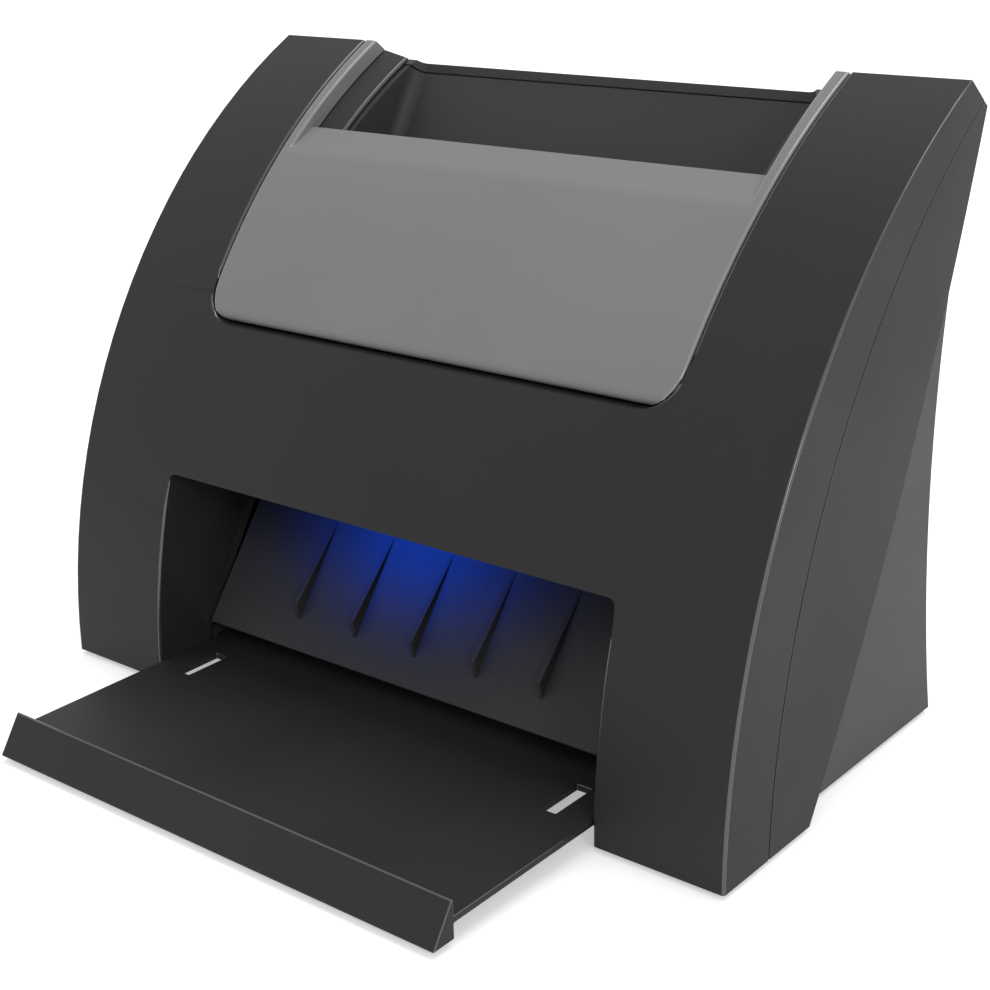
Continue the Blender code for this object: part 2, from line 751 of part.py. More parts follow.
def build_bottom_cover():
    """Floor plate, open under the exit bay and notched round the bay's cheeks."""
    leg_half = BODY_HALF - SHELL_WALL - GAP
    rear_half = REAR_INNER - GAP
    step_y = arc_y(grown(SLAB, -SHELL_WALL), 0.0) - GAP
    cheek = CHEEK_HALF + GAP
    outline = mirrored([
        (BAY_HALF - GAP, BAY_FLOOR_Y),
        (BAY_HALF - GAP, RAIL_FLOOR_Y),
        (cheek, RAIL_FLOOR_Y),
        (cheek, arc_y(FRONT_INNER, BASE_WALL) + GAP),
        (leg_half, arc_y(FRONT_INNER, BASE_WALL) + GAP),
        (leg_half, step_y),
        (rear_half, step_y),
        (rear_half, arc_y(BACK_INNER, BASE_WALL) - GAP),
    ])
    cover = prism_z("bottom_cover", outline, 0.0, BASE_WALL)
    for x, y in pad_places():
        cut(cover, rod_z("cover_pad_seat", (x, y), FOOT_PAD_RADIUS + GAP, -OVERRUN, FOOT_PAD_SUNK + GAP))
    for x, y in case_screw_places():
        cut(cover, rod_z("cover_screw_hole", (x, y), CASE_SCREW_RADIUS + GAP, -OVERRUN, BASE_WALL + OVERRUN))
        cut(cover, rod_z("cover_screw_seat", (x, y), CASE_HEAD_RADIUS + GAP, -OVERRUN, CASE_HEAD_SUNK))
    for x, y in frame_screw_places():
        cut(cover, rod_z("cover_frame_hole", (x, y), FRAME_SCREW_RADIUS + GAP, -OVERRUN, BASE_WALL + OVERRUN))
    return painted(cover, "base_plastic")


def pad_places():
    front = [(side * (BODY_HALF - FOOT_PAD_INSET), FRONT_PAD_Y) for side in sides()]
    rear = [(side * (REAR_HALF - FOOT_PAD_INSET), REAR_PAD_Y) for side in sides()]
    return front + rear


def case_screw_places():
    front = [(side * (BODY_HALF - SHELL_WALL - BOSS_INSET), FRONT_BOSS_Y) for side in sides()]
    rear = [(side * (REAR_INNER - BOSS_INSET), REAR_BOSS_Y) for side in sides()]
    return front + rear


def frame_screw_places():
    x = FRAME_OUTER + FOOT_WIDTH / 2
    return [(side * x, y) for side in sides() for y in (FRONT_FOOT_Y, REAR_FOOT_Y)]


def build_rubber_feet():
    for number, place in enumerate(pad_places(), 1):
        pad = rod_z(f"rubber_foot_{number}", place, FOOT_PAD_RADIUS, -FOOT_PAD_HEIGHT, FOOT_PAD_SUNK)
        painted(pad, "rubber")


def screw(name, place, head_radius, head, shank_radius, shank):
    """Screw along Z. The head and the shank are each given as a start and an end height."""
    rings = []
    for height, radius in (
        (head[0], head_radius),
        (head[1], head_radius),
        (head[1], shank_radius),
        (shank, shank_radius),
    ):
        rings.append([(x, y, height) for x, y in circle(place, radius, SMALL_SIDES)])
    return painted(loft(name, rings), "steel")


def build_case_screws():
    head = (CASE_HEAD_SUNK - GAP - CASE_HEAD_HEIGHT, CASE_HEAD_SUNK - GAP)
    for number, place in enumerate(case_screw_places(), 1):
        screw(f"case_screw_{number}", place, CASE_HEAD_RADIUS, head, CASE_SCREW_RADIUS, CASE_SCREW_TOP)


def build_frame_screws():
    seat = BASE_WALL + GAP + FOOT_WALL + GAP
    head = (seat + FRAME_HEAD_HEIGHT, seat)
    for number, place in enumerate(frame_screw_places(), 1):
        screw(f"frame_screw_{number}", place, FRAME_HEAD_RADIUS, head, FRAME_SCREW_RADIUS, FRAME_SCREW_LOW)


# Access door

def door_section():
    """(y, z) section of the door: a curved plate whose lower edge is rounded about the hinge axis."""
    half = DOOR_THICKNESS / 2
    centre = Vector((FRONT.centre_y, FRONT.centre_z))
    inward = (centre - EDGE_AXIS).normalized()
    down = Vector((inward.y, -inward.x))
    if down.y > 0:
        down = -down
    outer_start = EDGE_AXIS - inward * half
    inner_start = EDGE_AXIS + inward * half
    inner_arc = grown(FRONT, -DOOR_THICKNESS)
    outer = arc_points(FRONT, outer_start.y, crown_meet(FRONT).y)
    inner = arc_points(inner_arc, inner_start.y, crown_meet(inner_arc).y)[::-1]
    steps = 2 * CORNER_STEPS
    edge = []
    for index in range(1, steps):
        angle = math.pi * index / steps
        edge.append(tuple(EDGE_AXIS + inward * (half * math.cos(angle)) + down * (half * math.sin(angle))))
    return outer + inner + edge


def build_access_door():
    door = prism_x("access_door", door_section(), -DOOR_TOP_HALF - OVERRUN, DOOR_TOP_HALF + OVERRUN)
    limit(door, prism_y("door_outline", door_outline(0.0, DOOR_FLOOR_TRIM), -OVERRUN, BACK_BASE + OVERRUN))
    low = BODY_HEIGHT - LIP_DROP
    rise = Vector((math.cos(LIP_ANGLE), math.sin(LIP_ANGLE)))
    start = Vector((arc_y(FRONT, low), low)) - rise * OVERRUN
    lip = start + rise * (OVERRUN + LIP_LENGTH)
    under = lip + Vector((rise.y, -rise.x)) * (DOOR_THICKNESS + OVERRUN)
    mouth = [
        start,
        lip,
        under,
        under + Vector((CUT_REACH, 0.0)),
        start + Vector((CUT_REACH, CUT_REACH)),
        start + Vector((0.0, CUT_REACH)),
    ]
    cut(door, prism_x("door_mouth", mouth, -MOUTH_HALF, MOUTH_HALF))
    for side in sides():
        bore = rod_x(
            "door_hinge_bore",
            HINGE_AXIS,
            HINGE_PIN_RADIUS + GAP,
            side * (DOOR_LOW_HALF - HINGE_PIN_GRIP - GAP),
            side * (DOOR_TOP_HALF + OVERRUN),
            SMALL_SIDES,
        )
        cut(door, bore)
    return painted(door, "grey_plastic")


def build_door_hinge_pins():
    for number, side in enumerate(sides(), 1):
        start = side * (DOOR_LOW_HALF - HINGE_PIN_GRIP)
        end = side * (DOOR_TOP_HALF + LEDGE_MARGIN / 2)
        pin = rod_x(f"door_hinge_pin_{number}", HINGE_AXIS, HINGE_PIN_RADIUS, start, end, SMALL_SIDES)
        painted(pin, "steel")


def build_door_guide():
    """Hopper's sloping front wall and the upper front wall of the card path, tied to the door by gussets."""
    under = grown(FRONT, -DOOR_THICKNESS - GAP)
    top = Vector((arc_y(under, MOUTH_BASE), MOUTH_BASE)) + Vector((GAP, -GUIDE_WALL))
    bend = path_point(DOOR_GUIDE_BEND, -PATH_GAP)
    low = path_point(DOOR_GUIDE_LOW, -PATH_GAP)
    slope = (bend - top).normalized()
    back = Vector((slope.y, -slope.x)) * GUIDE_WALL
    section = [
        top,
        bend,
        low,
        path_point(DOOR_GUIDE_LOW, -PATH_GAP - GUIDE_WALL),
        path_point(DOOR_GUIDE_BEND - GUIDE_WALL / 2, -PATH_GAP - GUIDE_WALL),
        top + back,
    ]
    guide = prism_x("door_guide", section, -DOOR_GUIDE_HALF, DOOR_GUIDE_HALF)
    web = arc_points(under, MOUTH_BASE - GUSSET_DROP, top.y - GUIDE_WALL, CORNER_STEPS)
    middle = -PATH_GAP - GUIDE_WALL / 2
    web += [
        path_point(DOOR_GUIDE_BEND - GUIDE_WALL / 2, middle),
        path_point(DOOR_GUIDE_LOW, middle),
    ]
    for side in sides():
        inner = side * (DOOR_GUIDE_HALF - GUSSET_WALL)
        add(guide, prism_x("door_gusset", web, inner, side * DOOR_GUIDE_HALF))
    reach = DOOR_GUIDE_HALF + OVERRUN
    cut(guide, rod_x("door_shaft_hole", DOOR_PINCH_AXIS, PINCH_SHAFT_RADIUS + GAP, -reach, reach))
    for window in roller_windows(DOOR_PINCH_AXIS, PINCH_RADIUS):
        cut(guide, window)
    return painted(guide, "black_plastic")


# Card path

def roller_windows(axis, radius):
    """Blocks that clear each roller of a pair where it reaches through a guide."""
    reach = radius + ROLLER_WINDOW_GAP
    half = ROLLER_WIDTH / 2 + ROLLER_WINDOW_GAP
    windows = []
    for side in sides():
        middle = side * ROLLER_CENTRE
        windows.append(rod_x("roller_window", axis, reach, middle - half, middle + half))
    return windows


def build_hopper_liner():
    """Side walls and back wall of the hopper. The rear corners are rounded, and the mouth widens forward."""
    back_half = HOPPER_HALF - HOPPER_TAPER
    inner_corner = corner((back_half - HOPPER_CORNER, -HOPPER_CORNER), HOPPER_CORNER, 0.0, math.pi / 2)
    throat = mirrored([(HOPPER_HALF, -THROAT_REACH - OVERRUN)] + inner_corner)
    outer_radius = HOPPER_CORNER + LINER_WALL
    outer_corner = corner((back_half - HOPPER_CORNER, -HOPPER_CORNER), outer_radius, 0.0, math.pi / 2)
    block = mirrored([(HOPPER_HALF + LINER_WALL, -THROAT_REACH)] + outer_corner)
    liner = path_prism("hopper_liner", block, LINER_STATION, PATH_LENGTH + CUT_REACH)
    hollow = between(grown(LEDGE_UNDER, -GAP), grown(BACK_INNER, GAP), DOOR_BASE, CROWN_WALL + GAP)
    limit(liner, prism_x("liner_limit", hollow, -BODY_HALF, BODY_HALF))
    cut(liner, path_prism("liner_throat", throat, LINER_STATION - OVERRUN, PATH_LENGTH + CUT_REACH + OVERRUN))
    return painted(liner, "black_plastic")


def build_rear_guide_plate():
    low = RAMP_TOP_STATION + GAP
    section = path_block(low, LINER_STATION - GAP, 0.0, GUIDE_WALL)
    half_width = CHASSIS_HALF - BUSH_FLANGE - GAP
    plate = prism_x("rear_guide_plate", section, -half_width, half_width)
    for axis in (EXIT_AXIS, FEED_AXIS):
        for window in roller_windows(axis, DRIVEN_RADIUS):
            cut(plate, window)
    half = GLASS_WIDTH / 2 + GAP
    opening = path_block(REAR_SENSOR_STATION - half, REAR_SENSOR_STATION + half, -OVERRUN, OVERRUN)
    cut(plate, prism_x("rear_glass_window", opening, -GLASS_HALF - GAP, GLASS_HALF + GAP))
    return painted(plate, "black_plastic")


def build_lower_front_guide():
    high = FRONT_SENSOR_STATION - SENSOR_WIDTH / 2 - GAP
    section = path_block(EXIT_GUIDE_START, high, -PATH_GAP - GUIDE_WALL, -PATH_GAP)
    guide = prism_x("lower_front_guide", section, -CHASSIS_HALF, CHASSIS_HALF)
    for window in roller_windows(EXIT_PINCH_AXIS, PINCH_RADIUS):
        cut(guide, window)
    return painted(guide, "black_plastic")


def build_sensor(name, station, face, outward):
    """Image sensor bar with its glass in front. The face is the glass's place on the path's normal."""
    half = SENSOR_WIDTH / 2
    glass_half = GLASS_WIDTH / 2
    near = face + outward * GLASS_WALL
    start = face + outward * (GUIDE_WALL + GAP)
    end = start + outward * SENSOR_DEPTH
    low, high = sorted((start, end))
    block = path_block(station - half, station + half, low, high)
    bar = prism_x(name + "_bar", block, -CHASSIS_HALF, CHASSIS_HALF)
    low, high = sorted((face, near))
    pane = path_block(station - glass_half, station + glass_half, low, high)
    glass = prism_x(name + "_glass", pane, -GLASS_HALF, GLASS_HALF)
    return painted(bar, "sensor_plastic"), painted(glass, "sensor_glass")


def build_front_sensor():
    """The front sensor's own casing is the wall of the path, so its glass sits in a pocket of the bar."""
    face = -PATH_GAP
    half = SENSOR_WIDTH / 2
    glass_half = GLASS_WIDTH / 2
    station = FRONT_SENSOR_STATION
    body = path_block(station - half, station + half, face - SENSOR_DEPTH, face)
    bar = prism_x("front_sensor_bar", body, -CHASSIS_HALF, CHASSIS_HALF)
    reach = glass_half + GAP
    pocket = path_block(station - reach, station + reach, face - GLASS_WALL - GAP, face + OVERRUN)
    cut(bar, prism_x("front_glass_pocket", pocket, -GLASS_HALF - GAP, GLASS_HALF + GAP))
    pane = path_block(station - glass_half, station + glass_half, face - GLASS_WALL, face)
    glass = prism_x("front_sensor_glass", pane, -GLASS_HALF, GLASS_HALF)
    return painted(bar, "sensor_plastic"), painted(glass, "sensor_glass")


# Ramp

def ramp_normal():
    along = (PATH_LOW - Vector((RAMP_LOW_Y, RAMP_LOW_Z))).normalized()
    return Vector((along.y, -along.x))


def build_exit_ramp():
    """Ribbed ramp with a straight upper stretch that leads off the exit rollers."""
    low = Vector((RAMP_LOW_Y, RAMP_LOW_Z))
    normal = ramp_normal()
    bend = (normal + PATH_NORMAL).normalized() * RAMP_WALL
    section = [
        low,
        PATH_LOW,
        path_point(RAMP_TOP_STATION),
        path_point(RAMP_TOP_STATION, RAMP_WALL),
        PATH_LOW + bend,
        low + normal * RAMP_WALL,
    ]
    inner = BAY_HALF - GAP
    ramp = prism_x("exit_ramp", section, -inner, inner)
    wing = path_block(EXIT_GUIDE_START, RAMP_TOP_STATION - GAP, GAP, RAMP_WALL - GAP)
    add(ramp, prism_x("ramp_wings", wing, -CHASSIS_HALF, CHASSIS_HALF))
    for index in range(RIB_COUNT):
        middle = (index - (RIB_COUNT - 1) / 2) * RIB_PITCH
        add(ramp, ramp_rib(middle))
    return painted(ramp, "black_plastic")


def ramp_rib(middle):
    """Thin rib that rises out of the ramp, tallest near its foot."""
    low = Vector((RAMP_LOW_Y, RAMP_LOW_Z))
    root = ramp_normal() * (RAMP_WALL / 2)
    head = low.lerp(PATH_LOW, RIB_START_SHARE)
    foot = low.lerp(PATH_LOW, RIB_FOOT_SHARE)
    crest = low.lerp(PATH_LOW, RIB_CREST_SHARE) - ramp_normal() * RIB_HEIGHT
    half = RIB_THICKNESS / 2
    return prism_x("ramp_rib", [head, crest, foot, foot + root, head + root], middle - half, middle + half)


# Rollers

def build_shaft(name, axis):
    start = -(FRAME_OUTER + SHAFT_OVERHANG)
    shaft = rod_x(name, axis, SHAFT_RADIUS, start, GEAR_END + SHAFT_OVERHANG)
    return painted(shaft, "steel")


def tube_x(name, axis, corners):
    """Solid of revolution with a bore. Its closed section is given as (x, radius) corners."""
    form = bmesh.new()
    loops = []
    for x, radius in corners:
        loops.append([form.verts.new((x, y, z)) for y, z in circle(axis, radius, ROUND_SIDES)])
    for low, high in zip(loops, loops[1:] + loops[:1]):
        for index in range(ROUND_SIDES):
            after = (index + 1) % ROUND_SIDES
            form.faces.new((low[index], low[after], high[after], high[index]))
    return finished(name, form)


def build_tyres(name, axis):
    """Two rubber tyres on a driven shaft."""
    bore = SHAFT_RADIUS + GAP
    tyres = []
    for number, side in enumerate(sides(), 1):
        start = side * ROLLER_CENTRE - ROLLER_WIDTH / 2
        end = start + ROLLER_WIDTH
        corners = ((start, bore), (start, DRIVEN_RADIUS), (end, DRIVEN_RADIUS), (end, bore))
        tyres.append(painted(tube_x(f"{name}_{number}", axis, corners), "rubber"))
    return tyres


def build_shaft_bushes():
    """Plain bearings, each with a flange inside its frame."""
    bore = SHAFT_RADIUS + GAP
    outer = bore + BUSH_WALL
    flange = outer + BUSH_WALL
    number = 0
    for axis in (EXIT_AXIS, FEED_AXIS):
        for side in sides():
            number += 1
            seat = side * (FRAME_HALF - GAP)
            start = seat - side * BUSH_FLANGE
            end = side * (FRAME_OUTER + GAP)
            head = ((start, bore), (start, flange), (seat, flange))
            barrel = ((seat, outer), (end, outer), (end, bore))
            painted(tube_x(f"shaft_bush_{number}", axis, head + barrel), "brass")


def build_pinch_roller(name, axis, reach):
    """Free roller: a thin shaft with two wide rings moulded on it."""
    near = ROLLER_CENTRE - ROLLER_WIDTH / 2
    far = ROLLER_CENTRE + ROLLER_WIDTH / 2
    right = [(near, PINCH_SHAFT_RADIUS), (near, PINCH_RADIUS), (far, PINCH_RADIUS), (far, PINCH_SHAFT_RADIUS)]
    right.append((reach, PINCH_SHAFT_RADIUS))
    left = [(-x, radius) for x, radius in reversed(right)]
    return painted(turned_x(name, axis, left + right), "roller_plastic")


# Drive

def angle_between(start, end):
    run = end - start
    return math.atan2(run.y, run.x)


def build_gears():
    """The idler turns both roller gears, and the motor's pinion turns the idler."""
    upward = angle_between(IDLER_AXIS, FEED_AXIS)
    idler_pitch = 2 * math.pi / IDLER_TEETH
    feed = gear("feed_gear", FEED_AXIS, ROLLER_TEETH, upward + math.pi, SHAFT_RADIUS + GAP)
    leave = gear("exit_gear", EXIT_AXIS, ROLLER_TEETH, upward, SHAFT_RADIUS + GAP)
    facing = upward + idler_pitch / 2
    idler = gear("idler_gear", IDLER_AXIS, IDLER_TEETH, facing, IDLER_PIN_RADIUS + GAP)
    return feed, leave, idler, build_motor_pinion(facing, idler_pitch)


def build_motor_pinion(facing, idler_pitch):
    """Pinion and its shaft in one piece, turned so that a tooth space meets the idler's nearest tooth."""
    toward = PINION_ANGLE - facing
    stray = toward - idler_pitch * round(toward / idler_pitch)
    space = PINION_ANGLE + math.pi + stray * IDLER_TEETH / PINION_TEETH
    tooth = space + math.pi / PINION_TEETH
    outline = gear_outline(PINION_AXIS, PINION_TEETH, tooth)
    pinion = prism_x("motor_pinion", outline, GEAR_START, GEAR_END)
    start = FRAME_OUTER + 2 * GAP
    add(pinion, rod_x("pinion_shaft", PINION_AXIS, PINION_SHAFT_RADIUS, start, GEAR_END + GAP, SMALL_SIDES))
    return painted(pinion, "brass")


def build_drive_motor():
    """Motor can with a rear cap and a front boss that passes through the right frame."""
    face = FRAME_HALF - GAP
    rear = face - MOTOR_LENGTH
    stations = [
        (rear - MOTOR_CAP_LENGTH, MOTOR_CAP_RADIUS),
        (rear, MOTOR_CAP_RADIUS),
        (rear, MOTOR_RADIUS),
        (face, MOTOR_RADIUS),
        (face, MOTOR_BOSS_RADIUS),
        (FRAME_OUTER + GAP, MOTOR_BOSS_RADIUS),
    ]
    return painted(turned_x("drive_motor", PINION_AXIS, stations), "steel")


def build_idler_pin():
    start = FRAME_OUTER + GAP
    flange = start + BUSH_FLANGE
    stations = [
        (start, PIN_FLANGE_RADIUS),
        (flange, PIN_FLANGE_RADIUS),
        (flange, IDLER_PIN_RADIUS),
        (GEAR_END + BUSH_FLANGE, IDLER_PIN_RADIUS),
    ]
    return painted(turned_x("idler_pin", IDLER_AXIS, stations), "steel")


def build_side_frame(name, side):
    """Upright plate that carries the shafts, with two feet screwed to the floor."""
    floor = BASE_WALL + GAP
    outline = [
        (FRAME_FRONT_Y, floor),
        path_point(FRAME_LOW_STATION, -FRAME_FRONT_REACH),
        path_point(FRAME_MID_STATION, -FRAME_FRONT_REACH),
        path_point(FRAME_TOP_STATION, -FRAME_TOP_REACH),
        path_point(FRAME_TOP_STATION, FRAME_TOP_BACK),
        (FRAME_REAR_Y, FRAME_REAR_BEND_Z),
        (FRAME_REAR_Y, floor),
    ]
    frame = prism_x(name, outline, side * FRAME_HALF, side * FRAME_OUTER)
    for y in (FRONT_FOOT_Y, REAR_FOOT_Y):
        left, right = sorted((side * (FRAME_HALF + FRAME_WALL / 2), side * (FRAME_OUTER + FOOT_WIDTH)))
        foot = rectangle(left, right, y - FOOT_LENGTH / 2, y + FOOT_LENGTH / 2)
        add(frame, prism_z("frame_foot", foot, floor, floor + FOOT_WALL))
        hole = rod_z(
            "frame_foot_hole",
            (side * (FRAME_OUTER + FOOT_WIDTH / 2), y),
            FRAME_SCREW_RADIUS + GAP,
            floor - OVERRUN,
            floor + FOOT_WALL + OVERRUN,
        )
        cut(frame, hole)
    inner = side * (FRAME_HALF - OVERRUN)
    outer = side * (FRAME_OUTER + OVERRUN)
    bush_hole = SHAFT_RADIUS + GAP + BUSH_WALL + GAP
    holes = [
        (EXIT_AXIS, bush_hole),
        (FEED_AXIS, bush_hole),
        (EXIT_PINCH_AXIS, PINCH_SHAFT_RADIUS + GAP),
        (PINION_AXIS, MOTOR_BOSS_RADIUS + GAP),
    ]
    for axis, radius in holes:
        cut(frame, rod_x("frame_hole", axis, radius, inner, outer))
    return painted(frame, "frame_metal")


# Tray

def build_exit_tray():
    """Thin tray with an upturned lip, a finger slot at each side and a guide tongue at each rear corner."""
    base = TRAY_TOP - TRAY_WALL
    plate = rectangle(-TRAY_HALF, TRAY_HALF, TRAY_FRONT_Y - LIP_EDGE, TRAY_REAR_Y)
    tray = prism_z("exit_tray", plate, base, TRAY_TOP)
    lip = [
        (TRAY_FRONT_Y - LIP_RUN, LIP_BASE),
        (TRAY_FRONT_Y - LIP_EDGE, LIP_TOP),
        (TRAY_FRONT_Y, LIP_TOP),
        (TRAY_FRONT_Y, LIP_BASE),
    ]
    add(tray, prism_x("tray_lip", lip, -TRAY_HALF, TRAY_HALF))
    floor = BASE_WALL + GAP
    for side in sides():
        left, right = sorted((side * (TRAY_HALF - TONGUE_OVERLAP), side * (BAY_HALF + TONGUE_REACH)))
        tongue = rectangle(left, right, TRAY_REAR_Y - TONGUE_LENGTH, TRAY_REAR_Y)
        add(tray, prism_z("tray_tongue", tongue, floor, TRAY_TOP))
        middle = side * SLOT_X
        slot = rectangle(
            middle - SLOT_WIDTH / 2,
            middle + SLOT_WIDTH / 2,
            SLOT_FRONT_Y,
            SLOT_FRONT_Y + SLOT_LENGTH,
        )
        cut(tray, prism_z("tray_slot", slot, base - OVERRUN, TRAY_TOP + OVERRUN))
    return painted(tray, "black_plastic")


def build_tray_rail(name, side):
    """Angle rail over the tray's tongue, with a stop at each end of the travel."""
    floor = BASE_WALL + GAP
    ceiling = TRAY_TOP + GAP
    wall = BAY_HALF + TONGUE_REACH + GAP
    front = TRAY_REAR_Y - TONGUE_LENGTH - GAP - RAIL_STOP
    stop = TRAY_REAR_Y + TRAY_TRAVEL + GAP
    section = [
        (side * BAY_HALF, ceiling),
        (side * wall, ceiling),
        (side * wall, floor),
        (side * RAIL_HALF, floor),
        (side * RAIL_HALF, RAIL_TOP),
        (side * BAY_HALF, RAIL_TOP),
    ]
    rail = prism_y(name, section, front, stop + RAIL_STOP)
    left, right = sorted((side * BAY_HALF, side * (wall + RAIL_WALL / 2)))
    for start in (front, stop):
        block = rectangle(left, right, start, start + RAIL_STOP)
        add(rail, prism_z("rail_stop", block, floor, ceiling + GAP))
    return painted(rail, "base_plastic")


# Lamp and electronics

def build_lamp():
    pane = rectangle(
        LAMP_X - LENS_WIDTH / 2,
        LAMP_X + LENS_WIDTH / 2,
        LAMP_Y - LENS_LENGTH / 2,
        LAMP_Y + LENS_LENGTH / 2,
    )
    lens = prism_z("lamp_lens", pane, BAY_HEIGHT + LENS_DROP, BAY_HEIGHT + BAY_WALL)
    plate = rectangle(
        LAMP_X - LAMP_BOARD_WIDTH / 2,
        LAMP_X + LAMP_BOARD_WIDTH / 2,
        LAMP_Y - LAMP_BOARD_LENGTH / 2,
        LAMP_Y + LAMP_BOARD_LENGTH / 2,
    )
    board = prism_z("lamp_board", plate, LAMP_BOARD_BASE, LAMP_BOARD_TOP)
    return painted(lens, "lamp_blue"), painted(board, "board_green")


def build_main_board():
    plate = rectangle(-BOARD_HALF, BOARD_HALF, BOARD_FRONT_Y, BOARD_REAR_Y)
    return painted(prism_z("main_board", plate, BOARD_BASE, BOARD_TOP), "board_green")


def build_board_parts():
    """Processor package and two capacitors."""
    seat = BOARD_TOP + GAP
    half = CHIP_SIDE / 2
    chip = rectangle(CHIP_X - half, CHIP_X + half, CHIP_Y - half, CHIP_Y + half)
    painted(prism_z("processor", chip, seat, seat + CHIP_HEIGHT), "chip_black")
    for number, side in enumerate(sides(), 1):
        place = (CAPACITOR_X + side * CAPACITOR_PITCH / 2, CHIP_Y)
        top = seat + CAPACITOR_HEIGHT
        can = rod_z(f"capacitor_{number}", place, CAPACITOR_RADIUS, seat, top, SMALL_SIDES)
        painted(can, "chip_black")


def socket_face(height):
    """Y of a socket's outer face, just inside the back wall's surface."""
    return arc_y(BACK, BOARD_TOP + height / 2) - SOCKET_FACE_INSET


def build_usb_socket():
    """Square data socket with the tongue that stands in its port."""
    face = socket_face(USB_HEIGHT)
    seat = BOARD_TOP + GAP
    left = USB_X - USB_WIDTH / 2
    block = rectangle(left, left + USB_WIDTH, seat, seat + USB_HEIGHT)
    socket = prism_y("usb_socket", block, face - USB_LENGTH, face)
    middle = seat + USB_HEIGHT / 2
    port = frame_outline(USB_X, middle, USB_PORT_WIDTH, USB_PORT_HEIGHT)
    cutter = prism_y("usb_port", port, face - PORT_DEPTH, face + OVERRUN)
    tongue = frame_outline(USB_X, middle, USB_TONGUE_WIDTH, USB_TONGUE_HEIGHT)
    cut(cutter, prism_y("usb_tongue", tongue, face - PORT_DEPTH - OVERRUN, face + 2 * OVERRUN))
    return painted(cut(socket, cutter), "steel")


def frame_outline(x, z, width, height):
    """Rectangle about a middle point."""
    return rectangle(x - width / 2, x + width / 2, z - height / 2, z + height / 2)


def build_power_jack():
    """Square power inlet with a round bore and its centre pin."""
    face = socket_face(JACK_HEIGHT)
    seat = BOARD_TOP + GAP
    left = JACK_X - JACK_WIDTH / 2
    block = rectangle(left, left + JACK_WIDTH, seat, seat + JACK_HEIGHT)
    jack = prism_y("power_jack", block, face - JACK_LENGTH, face)
    middle = (JACK_X, seat + JACK_HEIGHT / 2)
    bore = prism_y("jack_bore", circle(middle, JACK_BORE, ROUND_SIDES), face - PORT_DEPTH, face + OVERRUN)
    pin = circle(middle, JACK_PIN, SMALL_SIDES)
    cut(bore, prism_y("jack_pin", pin, face - PORT_DEPTH - OVERRUN, face + 2 * OVERRUN))
    return painted(cut(jack, bore), "chip_black")


# Assembly

def clear_scene():
    for old in list(bpy.data.objects):
        bpy.data.objects.remove(old)


def empty(name, place):
    marker = bpy.data.objects.new(name, None)
    bpy.context.scene.collection.objects.link(marker)
    marker.location = place
    return marker


def hang(name, axis, pieces, carrier=None):
    """Joint marker on an axis, with the pieces that move about it."""
    marker = empty(name, (0.0, *axis))
    marker.parent = MACHINE
    if carrier:
        marker.parent = carrier
        marker.location = marker.location - carrier.location
    for piece in pieces:
        piece.parent = marker
        piece.location = (0.0, -axis[0], -axis[1])
    return marker


clear_scene()
MACHINE = empty("machine", (0.0, -MIDDLE_Y, FOOT_PAD_HEIGHT))
MATERIALS = {
    "black_plastic": finish("black_plastic", (0.045, 0.045, 0.047), 0.55),
    "grey_black_plastic": finish("grey_black_plastic", (0.06, 0.06, 0.062), 0.55),
    "base_plastic": finish("base_plastic", (0.03, 0.03, 0.03), 0.6),
    "grey_plastic": finish("grey_plastic", (0.22, 0.22, 0.22), 0.5),
    "sensor_plastic": finish("sensor_plastic", (0.02, 0.02, 0.02), 0.5),
    "sensor_glass": finish("sensor_glass", (0.7, 0.8, 0.8), 0.05),
    "rubber": finish("rubber", (0.03, 0.03, 0.03), 0.85),
    "roller_plastic": finish("roller_plastic", (0.4, 0.4, 0.42), 0.5),
    "steel": finish("steel", (0.6, 0.6, 0.6), 0.3, 1.0),
    "frame_metal": finish("frame_metal", (0.5, 0.5, 0.5), 0.4, 1.0),
    "brass": finish("brass", (0.7, 0.5, 0.2), 0.35, 1.0),
    "gear_plastic": finish("gear_plastic", (0.7, 0.68, 0.62), 0.45),
    "lamp_blue": finish("lamp_blue", (0.05, 0.2, 0.9), 0.2),
    "board_green": finish("board_green", (0.02, 0.16, 0.06), 0.4),
    "chip_black": finish("chip_black", (0.015, 0.015, 0.015), 0.4),
}


